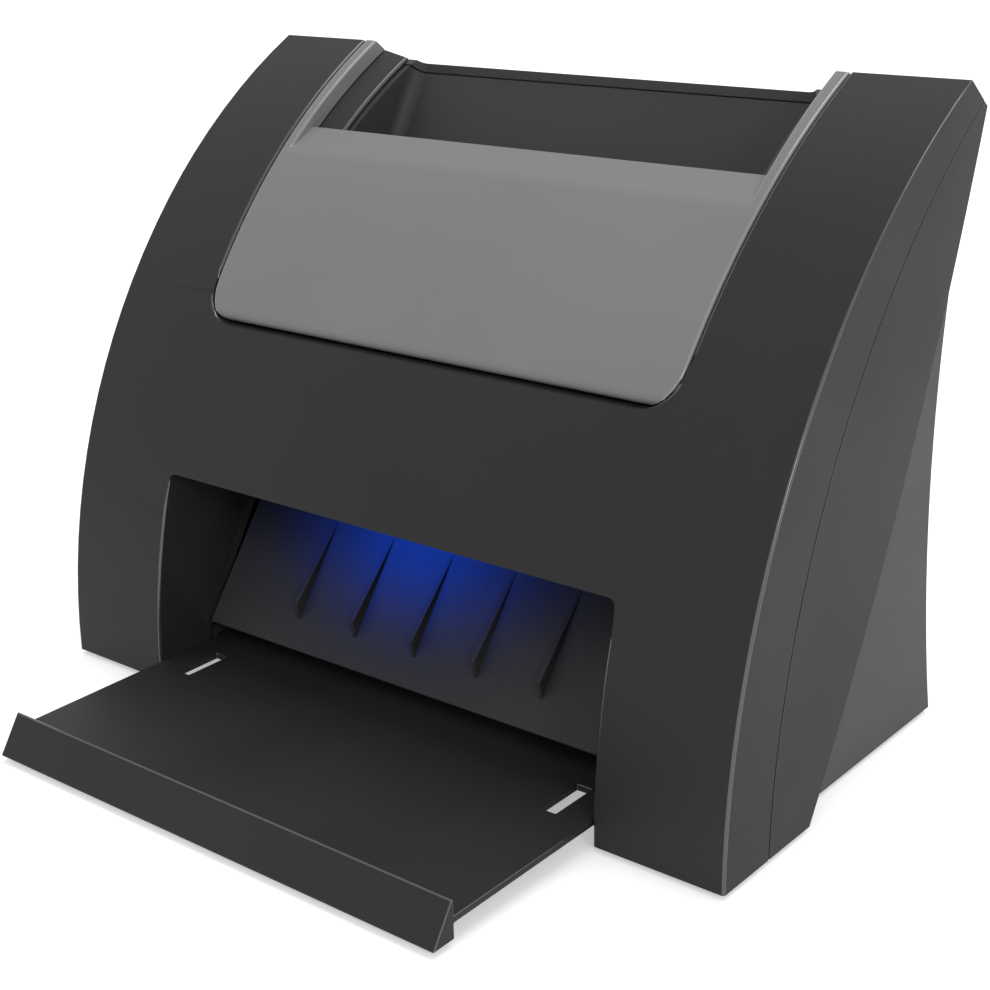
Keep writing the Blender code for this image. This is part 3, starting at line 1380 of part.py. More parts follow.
def main():
    build_front_shell()
    build_rear_housing()
    build_bottom_cover()
    build_rubber_feet()
    build_case_screws()
    build_frame_screws()
    build_hopper_liner()
    build_rear_guide_plate()
    build_lower_front_guide()
    build_sensor("rear_sensor", REAR_SENSOR_STATION, 0.0, 1)
    build_front_sensor()
    build_exit_ramp()
    build_side_frame("left_side_frame", -1)
    build_side_frame("right_side_frame", 1)
    build_shaft_bushes()
    build_idler_pin()
    build_drive_motor()
    build_tray_rail("tray_rail_left", -1)
    build_tray_rail("tray_rail_right", 1)
    build_lamp()
    build_main_board()
    build_board_parts()
    build_usb_socket()
    build_power_jack()
    build_door_hinge_pins()

    feed_gear, exit_gear, idler_gear, pinion = build_gears()
    feed_tyres = build_tyres("feed_tyre", FEED_AXIS)
    exit_tyres = build_tyres("exit_tyre", EXIT_AXIS)
    hang("feed_joint", FEED_AXIS, [build_shaft("feed_roller_shaft", FEED_AXIS), feed_gear, *feed_tyres])
    hang("exit_joint", EXIT_AXIS, [build_shaft("exit_roller_shaft", EXIT_AXIS), exit_gear, *exit_tyres])
    hang("idler_joint", IDLER_AXIS, [idler_gear])
    hang("pinion_joint", PINION_AXIS, [pinion])
    exit_pinch = build_pinch_roller("exit_pinch_roller", EXIT_PINCH_AXIS, FRAME_OUTER + SHAFT_OVERHANG / 2)
    hang("exit_pinch_joint", EXIT_PINCH_AXIS, [exit_pinch])
    door = hang("door_joint", HINGE_AXIS, [build_access_door(), build_door_guide()])
    door_pinch = build_pinch_roller("door_pinch_roller", DOOR_PINCH_AXIS, DOOR_GUIDE_HALF)
    hang("door_pinch_joint", DOOR_PINCH_AXIS, [door_pinch], door)
    hang("tray_joint", (0.0, 0.0), [build_exit_tray()])


main()
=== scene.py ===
"""Desktop card scanner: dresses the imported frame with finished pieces, materials, a stage and a camera."""
import json
import math

import bmesh
import bpy
from bpy.props import FloatProperty, FloatVectorProperty, IntProperty, PointerProperty, StringProperty
from mathutils import Matrix, Vector


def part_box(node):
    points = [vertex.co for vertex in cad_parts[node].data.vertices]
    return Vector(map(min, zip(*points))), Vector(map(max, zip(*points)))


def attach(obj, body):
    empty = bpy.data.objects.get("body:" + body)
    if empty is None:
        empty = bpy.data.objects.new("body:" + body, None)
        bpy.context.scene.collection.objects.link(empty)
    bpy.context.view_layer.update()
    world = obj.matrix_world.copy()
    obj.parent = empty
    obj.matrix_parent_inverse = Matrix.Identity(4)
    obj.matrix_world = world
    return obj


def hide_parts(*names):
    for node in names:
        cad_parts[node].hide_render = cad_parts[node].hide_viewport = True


bl_info = {
    "name": "Card Scanner",
    "version": (1, 0, 0),
    "blender": (4, 5, 0),
    "location": "View3D > Sidebar > Scanner",
    "description": "Finished pieces, materials and a stage for a desktop card scanner",
    "category": "Object",
}

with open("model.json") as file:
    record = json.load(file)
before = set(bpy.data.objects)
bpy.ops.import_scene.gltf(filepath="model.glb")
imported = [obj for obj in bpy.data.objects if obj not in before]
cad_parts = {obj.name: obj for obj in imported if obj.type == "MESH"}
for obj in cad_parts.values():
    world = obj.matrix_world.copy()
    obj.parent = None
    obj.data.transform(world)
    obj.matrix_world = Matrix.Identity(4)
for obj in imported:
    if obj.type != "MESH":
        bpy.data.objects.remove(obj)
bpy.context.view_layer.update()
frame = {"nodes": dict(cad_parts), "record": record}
NODES = frame["nodes"]
MM = 0.001

# The housing's own places: the casing between its slabs, the exit bay, and the ledge beside the hopper
CASING_HALF = 78.2 * MM
BAY_HALF = 60.0 * MM
BAY_CORNER = 43.4 * MM
BAY_TOP = 60.0 * MM
LEDGE_INNER = 51.0 * MM
LEDGE_OUTER = 58.4 * MM
LEDGE_FOOT = 83.5 * MM

# The ramp: its section and its wings' as (y, z) in millimetres, and the way that its face looks as (y, z)
RAMP_SECTION = (
    (-9.4, 10.2), (7.6, 33.1), (12.256, 40.803), (13.967, 39.768), (9.261, 31.985), (-7.794, 9.008),
)
RAMP_WING = ((9.409, 35.512), (12.357, 40.391), (13.555, 39.667), (10.607, 34.788))
RAMP_HALF = 55.5 * MM
RAMP_CHAMFER = 1.2
RAMP_OUTWARD = (-0.803, 0.596)
RIB_ROOT = 1.0 * MM
WING_HALF = 61.7 * MM
# Height below which the ramp's painted shade under the bay's ceiling no longer darkens it, and the base of
# the painted glow's fall round the lamp
PAINTED_SHADE_FOOT = 22.0 * MM
BELL_BASE = 2.718

# Rounded edges. A front edge turns by more than EDGE_TURN, from a face that looks forward to a wall that runs
# front to back. Its rounding fades where the edge runs level, and on the outer sides towards the crown.
EDGE_TURN = math.radians(40)
FRONT_LOOK = -0.1
WALL_LOOK = 0.02
LEVEL_RUN = 0.97
LEVEL_FADE = 2.0
OUTER_SIDE = 70.0 * MM
CROWN_HEIGHT = 108.0 * MM
CROWN_FADE = 24.0 * MM
CROWN_LEAST = 0.35
FRONT_SEGMENTS = 4
FLAT_WEIGHT = 60
MERGE_GAP = 0.002 * MM
FLAT_TURN = math.radians(0.1)
PLAIN_TURN = math.radians(28)
SHELL_TURN = math.radians(32)

# How closely a face must follow the front's or the ledge's profile to take its normals
NEAR_PROFILE = 0.015 * MM
FRONT_TURN = math.radians(14)
LEDGE_TURN = math.radians(4)
LEVEL_FACE = 0.01
FORWARD_FACE = -0.05
SHORT_FLAT = 0.2 * MM

# Screws, each with its head's height and its shank's radius, and tyres
CORE_SHARE = 0.78
THREAD_SHARE = 0.98
THREAD_PITCH = 0.6 * MM
CASE_SCREW = (0.7 * MM, 1.25 * MM)
CASE_SCREW_TURN = (0.0, 0.0, 0.4)
FRAME_SCREW = (1.5 * MM, 1.2 * MM)
FRAME_SCREW_TURN = (math.pi, 0.0, 0.9)
TYRE_BORE = 3.05 * MM
TYRE_RIB_HEIGHT = 0.3 * MM
TYRE_RIBS = 40

# The stage: strengths of sky and floor, and each lamp's name, place, size in metres and power in watts
SKY_STRENGTH = 0.66
FLOOR_STRENGTH = 0.42
FLOOR_REACH = 6.0
LAMP_TARGET = (0.0, 0.0, 0.06)
LAMPS = (
    ("overhead_lamp", (0.1, 0.5, 1.6), 1.2, 12.5),
    ("edge_lamp", (1.25, -0.7, 0.62), 0.32, 4.0),
    ("front_lamp", (0.75, -1.6, 0.32), 0.9, 2.2),
)
SENSOR_WIDTH_MM = 36.0


# Kinds of node that the trees use most, and the operations of their sums
MATH = "ShaderNodeMath"
VECTOR_MATH = "ShaderNodeVectorMath"
VECTOR = "ShaderNodeCombineXYZ"
NOISE = "ShaderNodeTexNoise"
MIX = "ShaderNodeMix"
RANGE = "ShaderNodeMapRange"
CYLINDER = "GeometryNodeMeshCylinder"
CUBE = "GeometryNodeMeshCube"
MOVE = "GeometryNodeTransform"
JOIN = "GeometryNodeJoinGeometry"
BOOLEAN = "GeometryNodeMeshBoolean"
ADD, SUBTRACT, MULTIPLY, DIVIDE, POWER, MAXIMUM, DIFFERENCE = (
    {"operation": name}
    for name in ("ADD", "SUBTRACT", "MULTIPLY", "DIVIDE", "POWER", "MAXIMUM", "DIFFERENCE")
)


# Colour and nodes

def linear(hex_colour):
    """An sRGB hex colour as linear RGBA."""
    digits = hex_colour.lstrip("#")
    values = []
    for start in (0, 2, 4):
        share = int(digits[start:start + 2], 16) / 255
        values.append(share / 12.92 if share <= 0.04045 else ((share + 0.055) / 1.055) ** 2.4)
    return (*values, 1.0)


def scaled(colour, factor):
    """A colour made darker or lighter by a factor."""
    return tuple(share * factor for share in colour[:3]) + (1.0,)


def feed(tree, node, **links):
    """Feeds the node's named inputs. Each takes a plain value, a socket, a node for its first output, or a
    list of these where it takes many. An input named i0 is the first one."""
    for name, value in links.items():
        key = int(name[1:]) if name[0] == "i" and name[1:].isdigit() else name.replace("_", " ")
        for item in reversed(value) if isinstance(value, list) else (value,):
            if isinstance(item, bpy.types.Node):
                item = item.outputs[0]
            if isinstance(item, bpy.types.NodeSocket):
                tree.links.new(item, node.inputs[key])
            else:
                node.inputs[key].default_value = item


def add_node(tree, kind, settings=None, **links):
    """A node in the tree. Settings are its properties, or the stops of its colour ramp, and links feed its
    inputs."""
    node = tree.nodes.new(kind)
    for name, value in (settings or {}).items():
        if name == "stops":
            for stop, (position, colour) in zip(node.color_ramp.elements, value):
                stop.position = position
                stop.color = colour
        else:
            setattr(node, name, value)
    feed(tree, node, **links)
    return node


def new_material(name):
    """An empty node material and its tree, with object coordinates and a Principled shader."""
    material = bpy.data.materials.new(name)
    material.use_nodes = True
    tree = material.node_tree
    tree.nodes.clear()
    place = add_node(tree, "ShaderNodeTexCoord").outputs["Object"]
    shader = add_node(tree, "ShaderNodeBsdfPrincipled")
    add_node(tree, "ShaderNodeOutputMaterial", Surface=shader.outputs["BSDF"])
    return material, tree, place, shader


def socket_of(material, kind, name):
    """The named input of the material's one node of that type, and the socket that feeds it."""
    node = next(node for node in material.node_tree.nodes if node.type == kind)
    socket = node.inputs[name]
    return socket, socket.links[0].from_socket if socket.is_linked else None


# Materials

def moulded_plastic(name, colour, grain_mm, grain_depth, roughness, mottling=0.06, specular=0.5):
    """Injection-moulded thermoplastic from a spark-eroded mould: a fine pebble grain, slightly uneven gloss
    from the flow of the melt, and a colour that drifts a little across a large face. The real grain is about
    a tenth of a millimetre wide, and is drawn coarser so that it shows."""
    material, tree, place, shader = new_material(name)
    grain_width = grain_mm * MM
    flow_width = 35.0 * MM
    grain = add_node(tree, NOISE, Vector=place, Scale=1 / grain_width, Detail=2.0, Roughness=0.6)
    flow = add_node(tree, NOISE, Vector=place, Scale=1 / flow_width, Detail=3.0, Roughness=0.5)
    base = linear(colour)
    least, most = 0.35, 0.65
    stops = ((least, scaled(base, 1 - mottling)), (most, scaled(base, 1 + mottling)))
    shade = add_node(tree, "ShaderNodeValToRGB", {"stops": stops}, Fac=flow)
    gloss = add_node(
        tree, RANGE, Value=flow, From_Min=least, From_Max=most,
        To_Min=roughness - 0.04, To_Max=roughness + 0.04,
    )
    bump = add_node(tree, "ShaderNodeBump", Height=grain, Strength=grain_depth, Distance=grain_width)
    feed(
        tree, shader, Base_Color=shade, Roughness=gloss, IOR=1.5, Specular_IOR_Level=specular, Normal=bump,
    )
    return material


def plain_metal(name, colour, roughness, scratch_mm=0.4, stretch=(1.0, 1.0, 1.0)):
    """Metal with fine marks drawn out along its working direction, which spread its gloss unevenly. They are
    drawn a few times coarser than real ones, so that they show."""
    material, tree, place, shader = new_material(name)
    turned = add_node(tree, "ShaderNodeMapping", Vector=place, Scale=stretch)
    scratch_width = scratch_mm * MM
    marks = add_node(tree, NOISE, Vector=turned, Scale=1 / scratch_width, Detail=3.0, Roughness=0.6)
    base = linear(colour)
    stops = ((0.3, scaled(base, 0.86)), (0.6, base))
    shade = add_node(tree, "ShaderNodeValToRGB", {"stops": stops}, Fac=marks)
    gloss = add_node(tree, RANGE, Value=marks, To_Min=roughness - 0.07, To_Max=roughness + 0.08)
    bump = add_node(tree, "ShaderNodeBump", Height=marks, Strength=0.15, Distance=scratch_width / 4)
    feed(tree, shader, Base_Color=shade, Roughness=gloss, Metallic=1.0, Normal=bump)
    return material


FINISHES = {}


def finish(name):
    """The named finish, made on first use."""
    if name not in FINISHES:
        FINISHES[name] = FINISH_MAKERS[name]()
    return FINISHES[name]


# ABS as it leaves the spark-eroded mould, and on edges where the mould is polished and the grain runs out
MOULDED = {"grain_depth": 0.12, "roughness": 0.48, "mottling": 0.05, "specular": 0.16}
POLISHED = {"grain_depth": 0.02, "roughness": 0.22, "mottling": 0.03, "specular": 1.0}


def coloured_abs(name, colour, **look):
    """ABS in one of the colours of the settings, with their grain."""
    settings = bpy.context.scene.scanner_finish
    return moulded_plastic(name, getattr(settings, colour), settings.grain, **look)


def grey_black_abs():
    """Moulded ABS of the rear casing: black on the raised slabs at its sides, and greyer between them."""
    material = coloured_abs("grey_black_abs_moulded", "housing_colour", **MOULDED)
    tree = material.node_tree
    place = next(node for node in tree.nodes if node.type == "TEX_COORD").outputs["Object"]
    across = add_node(tree, "ShaderNodeSeparateXYZ", Vector=place).outputs["X"]
    past_step = CASING_HALF + 0.1 * MM
    distance = add_node(tree, MATH, {"operation": "ABSOLUTE"}, i0=across)
    inside = add_node(tree, MATH, {"operation": "LESS_THAN"}, i0=distance, i1=past_step)
    colour, shade = socket_of(material, "BSDF_PRINCIPLED", "Base Color")
    casing = linear(bpy.context.scene.scanner_finish.casing_colour)
    greyer = add_node(tree, MIX, {"data_type": "RGBA"}, i0=inside, i6=shade, i7=casing)
    tree.links.new(greyer.outputs[2], colour)
    return material


def ramp_abs_with_painted_glow():
    """Black ABS of the ramp under the blue lamp, with the lamp's light painted on it as a glow. The painted
    light falls off round the lamp, and lies only on faces turned towards it, so the ribs' sides stay dark.
    Near the rollers at the top, and round the lamp, the colour is darkened: painted shade under the bay's
    ceiling."""
    lamp = bpy.context.scene.scanner_lamp
    # The liner's lighter black is painted light here too, for the light that falls onto the ramp
    material = coloured_abs(
        "lit_ramp_abs_moulded", "liner_colour_with_painted_light", grain_depth=0.12, roughness=0.5, mottling=0.05,
        specular=0.12,
    )
    tree = material.node_tree
    coordinates = next(node for node in tree.nodes if node.type == "TEX_COORD")
    # Painted glow: emission that stands in for the blue lamp's light on the ramp, fading round the lamp
    low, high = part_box("lamp_lens")
    middle = ((low.x + high.x) / 2, RAMP_SECTION[1][0] * MM, RAMP_SECTION[1][1] * MM)
    away = add_node(tree, VECTOR_MATH, SUBTRACT, i0=coordinates.outputs["Object"], i1=middle)
    share = add_node(tree, VECTOR_MATH, DIVIDE, i0=away, i1=tuple(lamp.spread))
    reach = add_node(tree, VECTOR_MATH, {"operation": "LENGTH"}, i0=share).outputs["Value"]
    square = add_node(tree, MATH, POWER, i0=reach, i1=2.0)
    power = add_node(tree, MATH, MULTIPLY, i0=square, i1=-1.0)
    fall = add_node(tree, MATH, POWER, i0=BELL_BASE, i1=power)
    facing = add_node(
        tree, VECTOR_MATH, {"operation": "DOT_PRODUCT"}, i0=coordinates.outputs["Normal"],
        i1=(0.0, *RAMP_OUTWARD),
    )
    towards = add_node(tree, MATH, MAXIMUM, i0=facing.outputs["Value"], i1=0.0)
    turned = add_node(tree, MATH, POWER, i0=towards, i1=3.0)
    light = add_node(tree, MATH, MULTIPLY, i0=fall, i1=turned)
    strength = add_node(tree, MATH, MULTIPLY, i0=light, i1=lamp.glow).outputs[0]
    tree.links.new(strength, socket_of(material, "BSDF_PRINCIPLED", "Emission Strength")[0])
    # Painted shade: the colour darkens towards the ramp's top and round the lamp, for the shade under the
    # bay's ceiling
    height = add_node(tree, "ShaderNodeSeparateXYZ", Vector=coordinates.outputs["Object"]).outputs["Z"]
    ramp_top = RAMP_SECTION[1][1] * MM
    high_up = add_node(
        tree, RANGE, Value=height, From_Min=ramp_top, From_Max=PAINTED_SHADE_FOOT, To_Min=0.55, To_Max=1.1,
    )
    far_off = add_node(tree, RANGE, Value=reach, From_Min=0.3, From_Max=2.6, To_Min=0.15, To_Max=1.0)
    painted_shade = add_node(tree, MATH, MULTIPLY, i0=high_up, i1=far_off)
    colour, shade = socket_of(material, "BSDF_PRINCIPLED", "Base Color")
    multiplied = {"data_type": "RGBA", "blend_type": "MULTIPLY"}
    painted_shade_colour = add_node(tree, MIX, multiplied, i0=1.0, i6=shade, i7=painted_shade)
    tree.links.new(painted_shade_colour.outputs[2], colour)
    socket_of(material, "BSDF_PRINCIPLED", "Emission Color")[0].default_value = linear(lamp.wash)
    return material


def sensor_glass():
    """Float glass over the image sensor: clear with a grey tint."""
    material, tree, place, shader = new_material("float_glass")
    haze_width = 10.0 * MM
    haze = add_node(tree, NOISE, Vector=place, Scale=1 / haze_width, Detail=2.0)
    gloss = add_node(tree, RANGE, Value=haze, To_Min=0.02, To_Max=0.08)
    feed(tree, shader, Roughness=gloss, Base_Color=linear("#c9d2d0"), Transmission_Weight=0.9, IOR=1.52)
    return material


def lamp_lens_glow():
    """Clear polycarbonate lens lit from behind by a blue diode."""
    settings = bpy.context.scene.scanner_lamp
    material, tree, place, shader = new_material("polycarbonate_lens_blue")
    prism_width = 6.0 * MM
    prism = add_node(
        tree, "ShaderNodeTexWave", {"bands_direction": "X"}, Vector=place, Scale=1 / prism_width,
    )
    blue = linear(settings.colour)
    stops = ((0.0, scaled(blue, 0.6)), (1.0, blue))
    tint = add_node(tree, "ShaderNodeValToRGB", {"stops": stops}, Fac=prism.outputs["Fac"])
    feed(
        tree, shader, Base_Color=tint, Emission_Color=tint, Emission_Strength=settings.lens_strength,
        Roughness=0.2,
    )
    return material


# What makes each finish: the material, its working and what that gives the eye
FINISH_MAKERS = {
    # Black ABS of the ramp, with the blue lamp's light painted on it as a glow, and painted shade under the
    # bay's ceiling.
    "ramp_painted_glow": ramp_abs_with_painted_glow,
    # Black ABS of the hopper's walls, a shade lighter than the housing's: painted light for the light that
    # falls into the hopper.
    "liner_black": lambda: coloured_abs(
        "liner_abs_moulded", "liner_colour_with_painted_light", grain_depth=0.1, roughness=0.42, mottling=0.05, specular=0.2,
    ),
    # Black ABS on the rounded edges, which show a thin glint.
    "polished_black": lambda: coloured_abs("black_abs_polished", "housing_colour", **POLISHED),
    # Grey ABS on the door's rounded edges, without the grain.
    "polished_grey": lambda: coloured_abs("grey_abs_polished", "door_colour", **POLISHED),
    # Black ABS, spark-eroded: charcoal with a low sheen.
    "black_plastic": lambda: coloured_abs("black_abs_moulded", "housing_colour", **MOULDED),
    "grey_black_plastic": grey_black_abs,
    # Mid-grey ABS of the access door with a satin face.
    "grey_plastic": lambda: coloured_abs(
        "grey_abs_moulded", "door_colour", grain_depth=0.1, roughness=0.5, mottling=0.02, specular=0.2,
    ),
    # Black ABS of the floor and rails, with a plainer and duller mould finish.
    "base_plastic": lambda: moulded_plastic(
        "base_abs_moulded", "#262626", grain_mm=0.5, grain_depth=0.2, roughness=0.6,
    ),
    # Glass-filled ABS of the sensor bars: dull and slightly streaky.
    "sensor_plastic": lambda: moulded_plastic(
        "sensor_abs_moulded", "#191919", grain_mm=0.6, grain_depth=0.25, roughness=0.55, mottling=0.12,
    ),
    "sensor_glass": sensor_glass,
    # Grey acetal of the free rollers: smooth, a little waxy.
    "roller_plastic": lambda: moulded_plastic(
        "roller_acetal_moulded", "#6e6e71", grain_mm=0.8, grain_depth=0.05, roughness=0.35, mottling=0.04,
    ),
    # Natural acetal of the gears: warm white with a waxy gloss.
    "gear_plastic": lambda: moulded_plastic(
        "gear_acetal_moulded", "#ddd8ca", grain_mm=0.8, grain_depth=0.05, roughness=0.32, mottling=0.04,
    ),
    # Nitrile rubber, ground: matt black with a dusty tone.
    "rubber": lambda: moulded_plastic(
        "nitrile_rubber_ground", "#1f1f1f", grain_mm=0.3, grain_depth=0.5, roughness=0.82,
        mottling=0.15, specular=0.3,
    ),
    # Moulded epoxy of the chips and inlet: near black, faintly speckled.
    "chip_black": lambda: moulded_plastic(
        "epoxy_moulded", "#171717", grain_mm=0.15, grain_depth=0.3, roughness=0.45, mottling=0.1,
    ),
    # Glass epoxy board under green solder mask, glossy over the weave.
    "board_green": lambda: moulded_plastic(
        "solder_mask_green", "#0f4d2a", grain_mm=0.5, grain_depth=0.15, roughness=0.3, mottling=0.12,
    ),
    # Zinc-plated steel of screws, shafts and motor can.
    "steel": lambda: plain_metal(
        "zinc_plated_steel", "#b9babd", roughness=0.32, scratch_mm=0.3, stretch=(0.1, 1.0, 1.0),
    ),
    # Galvanised sheet of the side frames with a broad soft spangle.
    "frame_metal": lambda: plain_metal("galvanised_sheet", "#a3a6a9", roughness=0.42, scratch_mm=3.0),
    # Machined brass of bushes and pinion.
    "brass": lambda: plain_metal(
        "turned_brass", "#b08d52", roughness=0.3, scratch_mm=0.2, stretch=(0.1, 1.0, 1.0),
    ),
    "lamp_blue": lamp_lens_glow,
}

# The finish of a piece's rounded edges, where it differs from the piece's own
EDGE_FINISHES = {
    "black_plastic": "polished_black",
    "grey_black_plastic": "polished_black",
    "grey_plastic": "polished_grey",
}


# Piece helpers

def slot_of(node):
    """The record's material slot of a CAD node."""
    for part in frame["record"]["subparts"]:
        if part["node"] == node:
            return part["material_slot"]
    raise ValueError(f"no slot for {node}")


def body_of(node):
    """The body that a CAD node belongs to."""
    for body, nodes in frame["record"]["behaviour"]["bodies"].items():
        if node in nodes:
            return body
    raise ValueError(f"no body for {node}")


def merged_copy(node, name):
    """A copy of a CAD solid with its triangles joined and its flat faces made whole."""
    source = NODES[node]
    mesh = source.data.copy()
    mesh.materials.clear()
    slot_name = slot_of(node)
    mesh.materials.append(finish(slot_name))
    mesh.materials.append(finish(EDGE_FINISHES.get(slot_name, slot_name)))
    piece = linked(name, mesh)
    work = bmesh.new()
    work.from_mesh(mesh)
    bmesh.ops.remove_doubles(work, verts=work.verts, dist=MERGE_GAP)
    bmesh.ops.dissolve_limit(
        work, angle_limit=FLAT_TURN, use_dissolve_boundaries=False, verts=work.verts, edges=work.edges,
    )
    for face in work.faces:
        face.smooth = True
        face.material_index = 0
    work.to_mesh(mesh)
    work.free()
    return piece


def faced_edges(mesh):
    """The sharp edges between a face that looks forward and a wall that runs front to back, each with a
    weight. It fades to nothing where the edge runs level, and on the shell's outer sides it falls towards
    the crown. The top of the exit bay is left to the plain rounding."""
    work = bmesh.new()
    work.from_mesh(mesh)
    chosen = {}
    for edge in work.edges:
        if len(edge.link_faces) != 2:
            continue
        first, second = sorted((face.normal for face in edge.link_faces), key=lambda normal: normal.y)
        sharp = first.angle(second) > EDGE_TURN
        place = (edge.verts[0].co + edge.verts[1].co) / 2
        in_bay = abs(place.x) < BAY_HALF and BAY_CORNER < place.z < BAY_TOP
        to_wall = first.y < FRONT_LOOK and abs(second.y) < WALL_LOOK
        if sharp and to_wall and edge.is_convex and not in_bay:
            along = (edge.verts[1].co - edge.verts[0].co).normalized()
            weight = min(1.0, max(0.0, LEVEL_FADE * (LEVEL_RUN - abs(along.x))))
            if abs(place.x) > OUTER_SIDE:
                weight *= min(1.0, max(CROWN_LEAST, (CROWN_HEIGHT - place.z) / CROWN_FADE))
            chosen[edge.index] = weight
    work.free()
    return chosen


def lined(piece, width):
    """Rounds the edges of the piece's front faces more widely than the rest, with the polished finish."""
    weights = piece.data.attributes.new("bevel_weight_edge", "FLOAT", "EDGE")
    for index, weight in faced_edges(piece.data).items():
        weights.data[index].value = weight
    bevel = piece.modifiers.new("front_edges", "BEVEL")
    bevel.width = width
    bevel.segments = FRONT_SEGMENTS
    bevel.limit_method = "WEIGHT"
    bevel.use_clamp_overlap = False
    bevel.material = len(piece.data.materials) - 1


def rounded(piece, width, segments, angle=PLAIN_TURN):
    """Rounds the piece's sharp edges and keeps its flats flat."""
    bevel = piece.modifiers.new("edge_rounding", "BEVEL")
    bevel.width = width
    bevel.segments = segments
    bevel.limit_method = "ANGLE"
    bevel.angle_limit = angle
    bevel.material = len(piece.data.materials) - 1
    bevel.miter_outer = "MITER_ARC"
    level = piece.modifiers.new("even_shading", "WEIGHTED_NORMAL")
    level.keep_sharp = True
    level.weight = FLAT_WEIGHT


def baked(piece):
    """Applies the piece's modifiers and leaves a plain mesh."""
    depsgraph = bpy.context.evaluated_depsgraph_get()
    mesh = bpy.data.meshes.new_from_object(piece.evaluated_get(depsgraph), depsgraph=depsgraph)
    piece.modifiers.clear()
    piece.data = mesh
    return piece


def front_profile(node):
    """The corners (height, depth) of a CAD solid's curved front, and the outward normal (height, y, z) at
    the middle of each flat between them."""
    mesh = NODES[node].data
    across = [
        face for face in mesh.polygons
        if abs(face.normal.x) < LEVEL_FACE and face.normal.y < FORWARD_FACE
    ]
    places = [mesh.vertices[index].co for face in across for index in face.vertices]
    side = max(place.x for place in places) - 0.1 * MM
    corners = sorted({(round(place.z, 6), round(place.y, 6)) for place in places if place.x > side})
    turns = []
    for low, high in zip(corners, corners[1:]):
        rise = high[0] - low[0]
        run = high[1] - low[1]
        length = math.hypot(rise, run)
        if rise > SHORT_FLAT:
            turns.append(((low[0] + high[0]) / 2, -rise / length, run / length))
    return corners, turns


def ledge_turns(node):
    """The outward normal (height, y, z) at the ledge's foot, middle and top, beside the hopper."""
    rows = sorted(
        (face.center.z, face.normal.y, face.normal.z) for face in NODES[node].data.polygons
        if abs(face.normal.x) < LEVEL_FACE and face.normal.y < FORWARD_FACE and on_ledge(face.center)
    )
    return [rows[0], rows[len(rows) // 2], rows[-1]]


def on_ledge(place):
    """Whether a place lies on the ledge at either side of the hopper, behind the door's strips."""
    return LEDGE_INNER < abs(place.x) < LEDGE_OUTER and place.z > LEDGE_FOOT


def row_at(rows, height):
    """The row of a table of heights, at any height between them."""
    for low, high in zip(rows, rows[1:]):
        if height <= high[0]:
            share = max(0.0, (height - low[0]) / max(high[0] - low[0], 1e-9))
            return [start + (end - start) * share for start, end in zip(low, high)]
    return rows[-1]


def even_front(piece, node):
    """Gives the curved front and its ledge the normals of their own profiles, so that nothing cut into them
    shows in their shading."""
    corners, turns = front_profile(node)
    ledge = ledge_turns(node)
    mesh = piece.data
    normals = [corner.vector.copy() for corner in mesh.corner_normals]
    for face in mesh.polygons:
        if face.normal.y > FORWARD_FACE:
            continue
        for corner in face.loop_indices:
            place = mesh.vertices[mesh.loops[corner].vertex_index].co
            depth = row_at(corners, place.z)[1]
            forward, upward = row_at(turns, place.z)[1:]
            smooth = Vector((0.0, forward, upward)).normalized()
            if abs(place.y - depth) < NEAR_PROFILE and face.normal.angle(smooth) < FRONT_TURN:
                normals[corner] = smooth
            elif on_ledge(face.center):
                tilt = face.normal.x
                forward, upward = row_at(ledge, place.z)[1:]
                smooth = Vector((0.0, forward, upward)).normalized() * math.sqrt(1.0 - tilt * tilt)
                smooth.x = tilt
                if face.normal.angle(smooth) < LEDGE_TURN:
                    normals[corner] = smooth
    mesh.normals_split_custom_set(normals)


def settle(piece, node):
    """Gives the piece the body of the CAD node that it stands for, and hides the node."""
    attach(piece, body_of(node))
    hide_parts(node)
    return piece


def moulded_copy(node, width, segments, front_width=None, finish_name=None, angle=PLAIN_TURN):
    """The CAD solid with its edges rounded as a mould leaves them, and its front edges wider if asked."""
    piece = merged_copy(node, node + "_moulded")
    if finish_name:
        piece.data.materials[0] = finish(finish_name)
        piece.data.materials[1] = finish(finish_name)
    if front_width:
        lined(piece, front_width)
    rounded(piece, width, segments, angle)
    return settle(baked(piece), node)


def lofted(name, rings):
    """Solid through rings of (y, z) points in millimetres, each ring at its own x."""
    count = len(rings[0][1])
    places = [(x, y * MM, z * MM) for x, ring in rings for y, z in ring]
    last = count * (len(rings) - 1)
    faces = [tuple(range(count)), tuple(range(last, last + count))]
    for start in range(0, last, count):
        for index in range(count):
            follow = (index + 1) % count
            side = (start + index, start + follow, start + count + follow, start + count + index)
            faces.append(side)
    mesh = bpy.data.meshes.new(name)
    mesh.from_pydata(places, [], faces)
    work = bmesh.new()
    work.from_mesh(mesh)
    bmesh.ops.recalc_face_normals(work, faces=work.faces)
    work.to_mesh(mesh)
    work.free()
    return mesh


def linked(name, mesh):
    """A new object with the mesh, at the origin."""
    piece = bpy.data.objects.new(name, mesh)
    bpy.context.scene.collection.objects.link(piece)
    return piece


# Geometry trees

SOCKETS = {
    "number": "NodeSocketFloat",
    "count": "NodeSocketInt",
    "vector": "NodeSocketVector",
    "material": "NodeSocketMaterial",
}


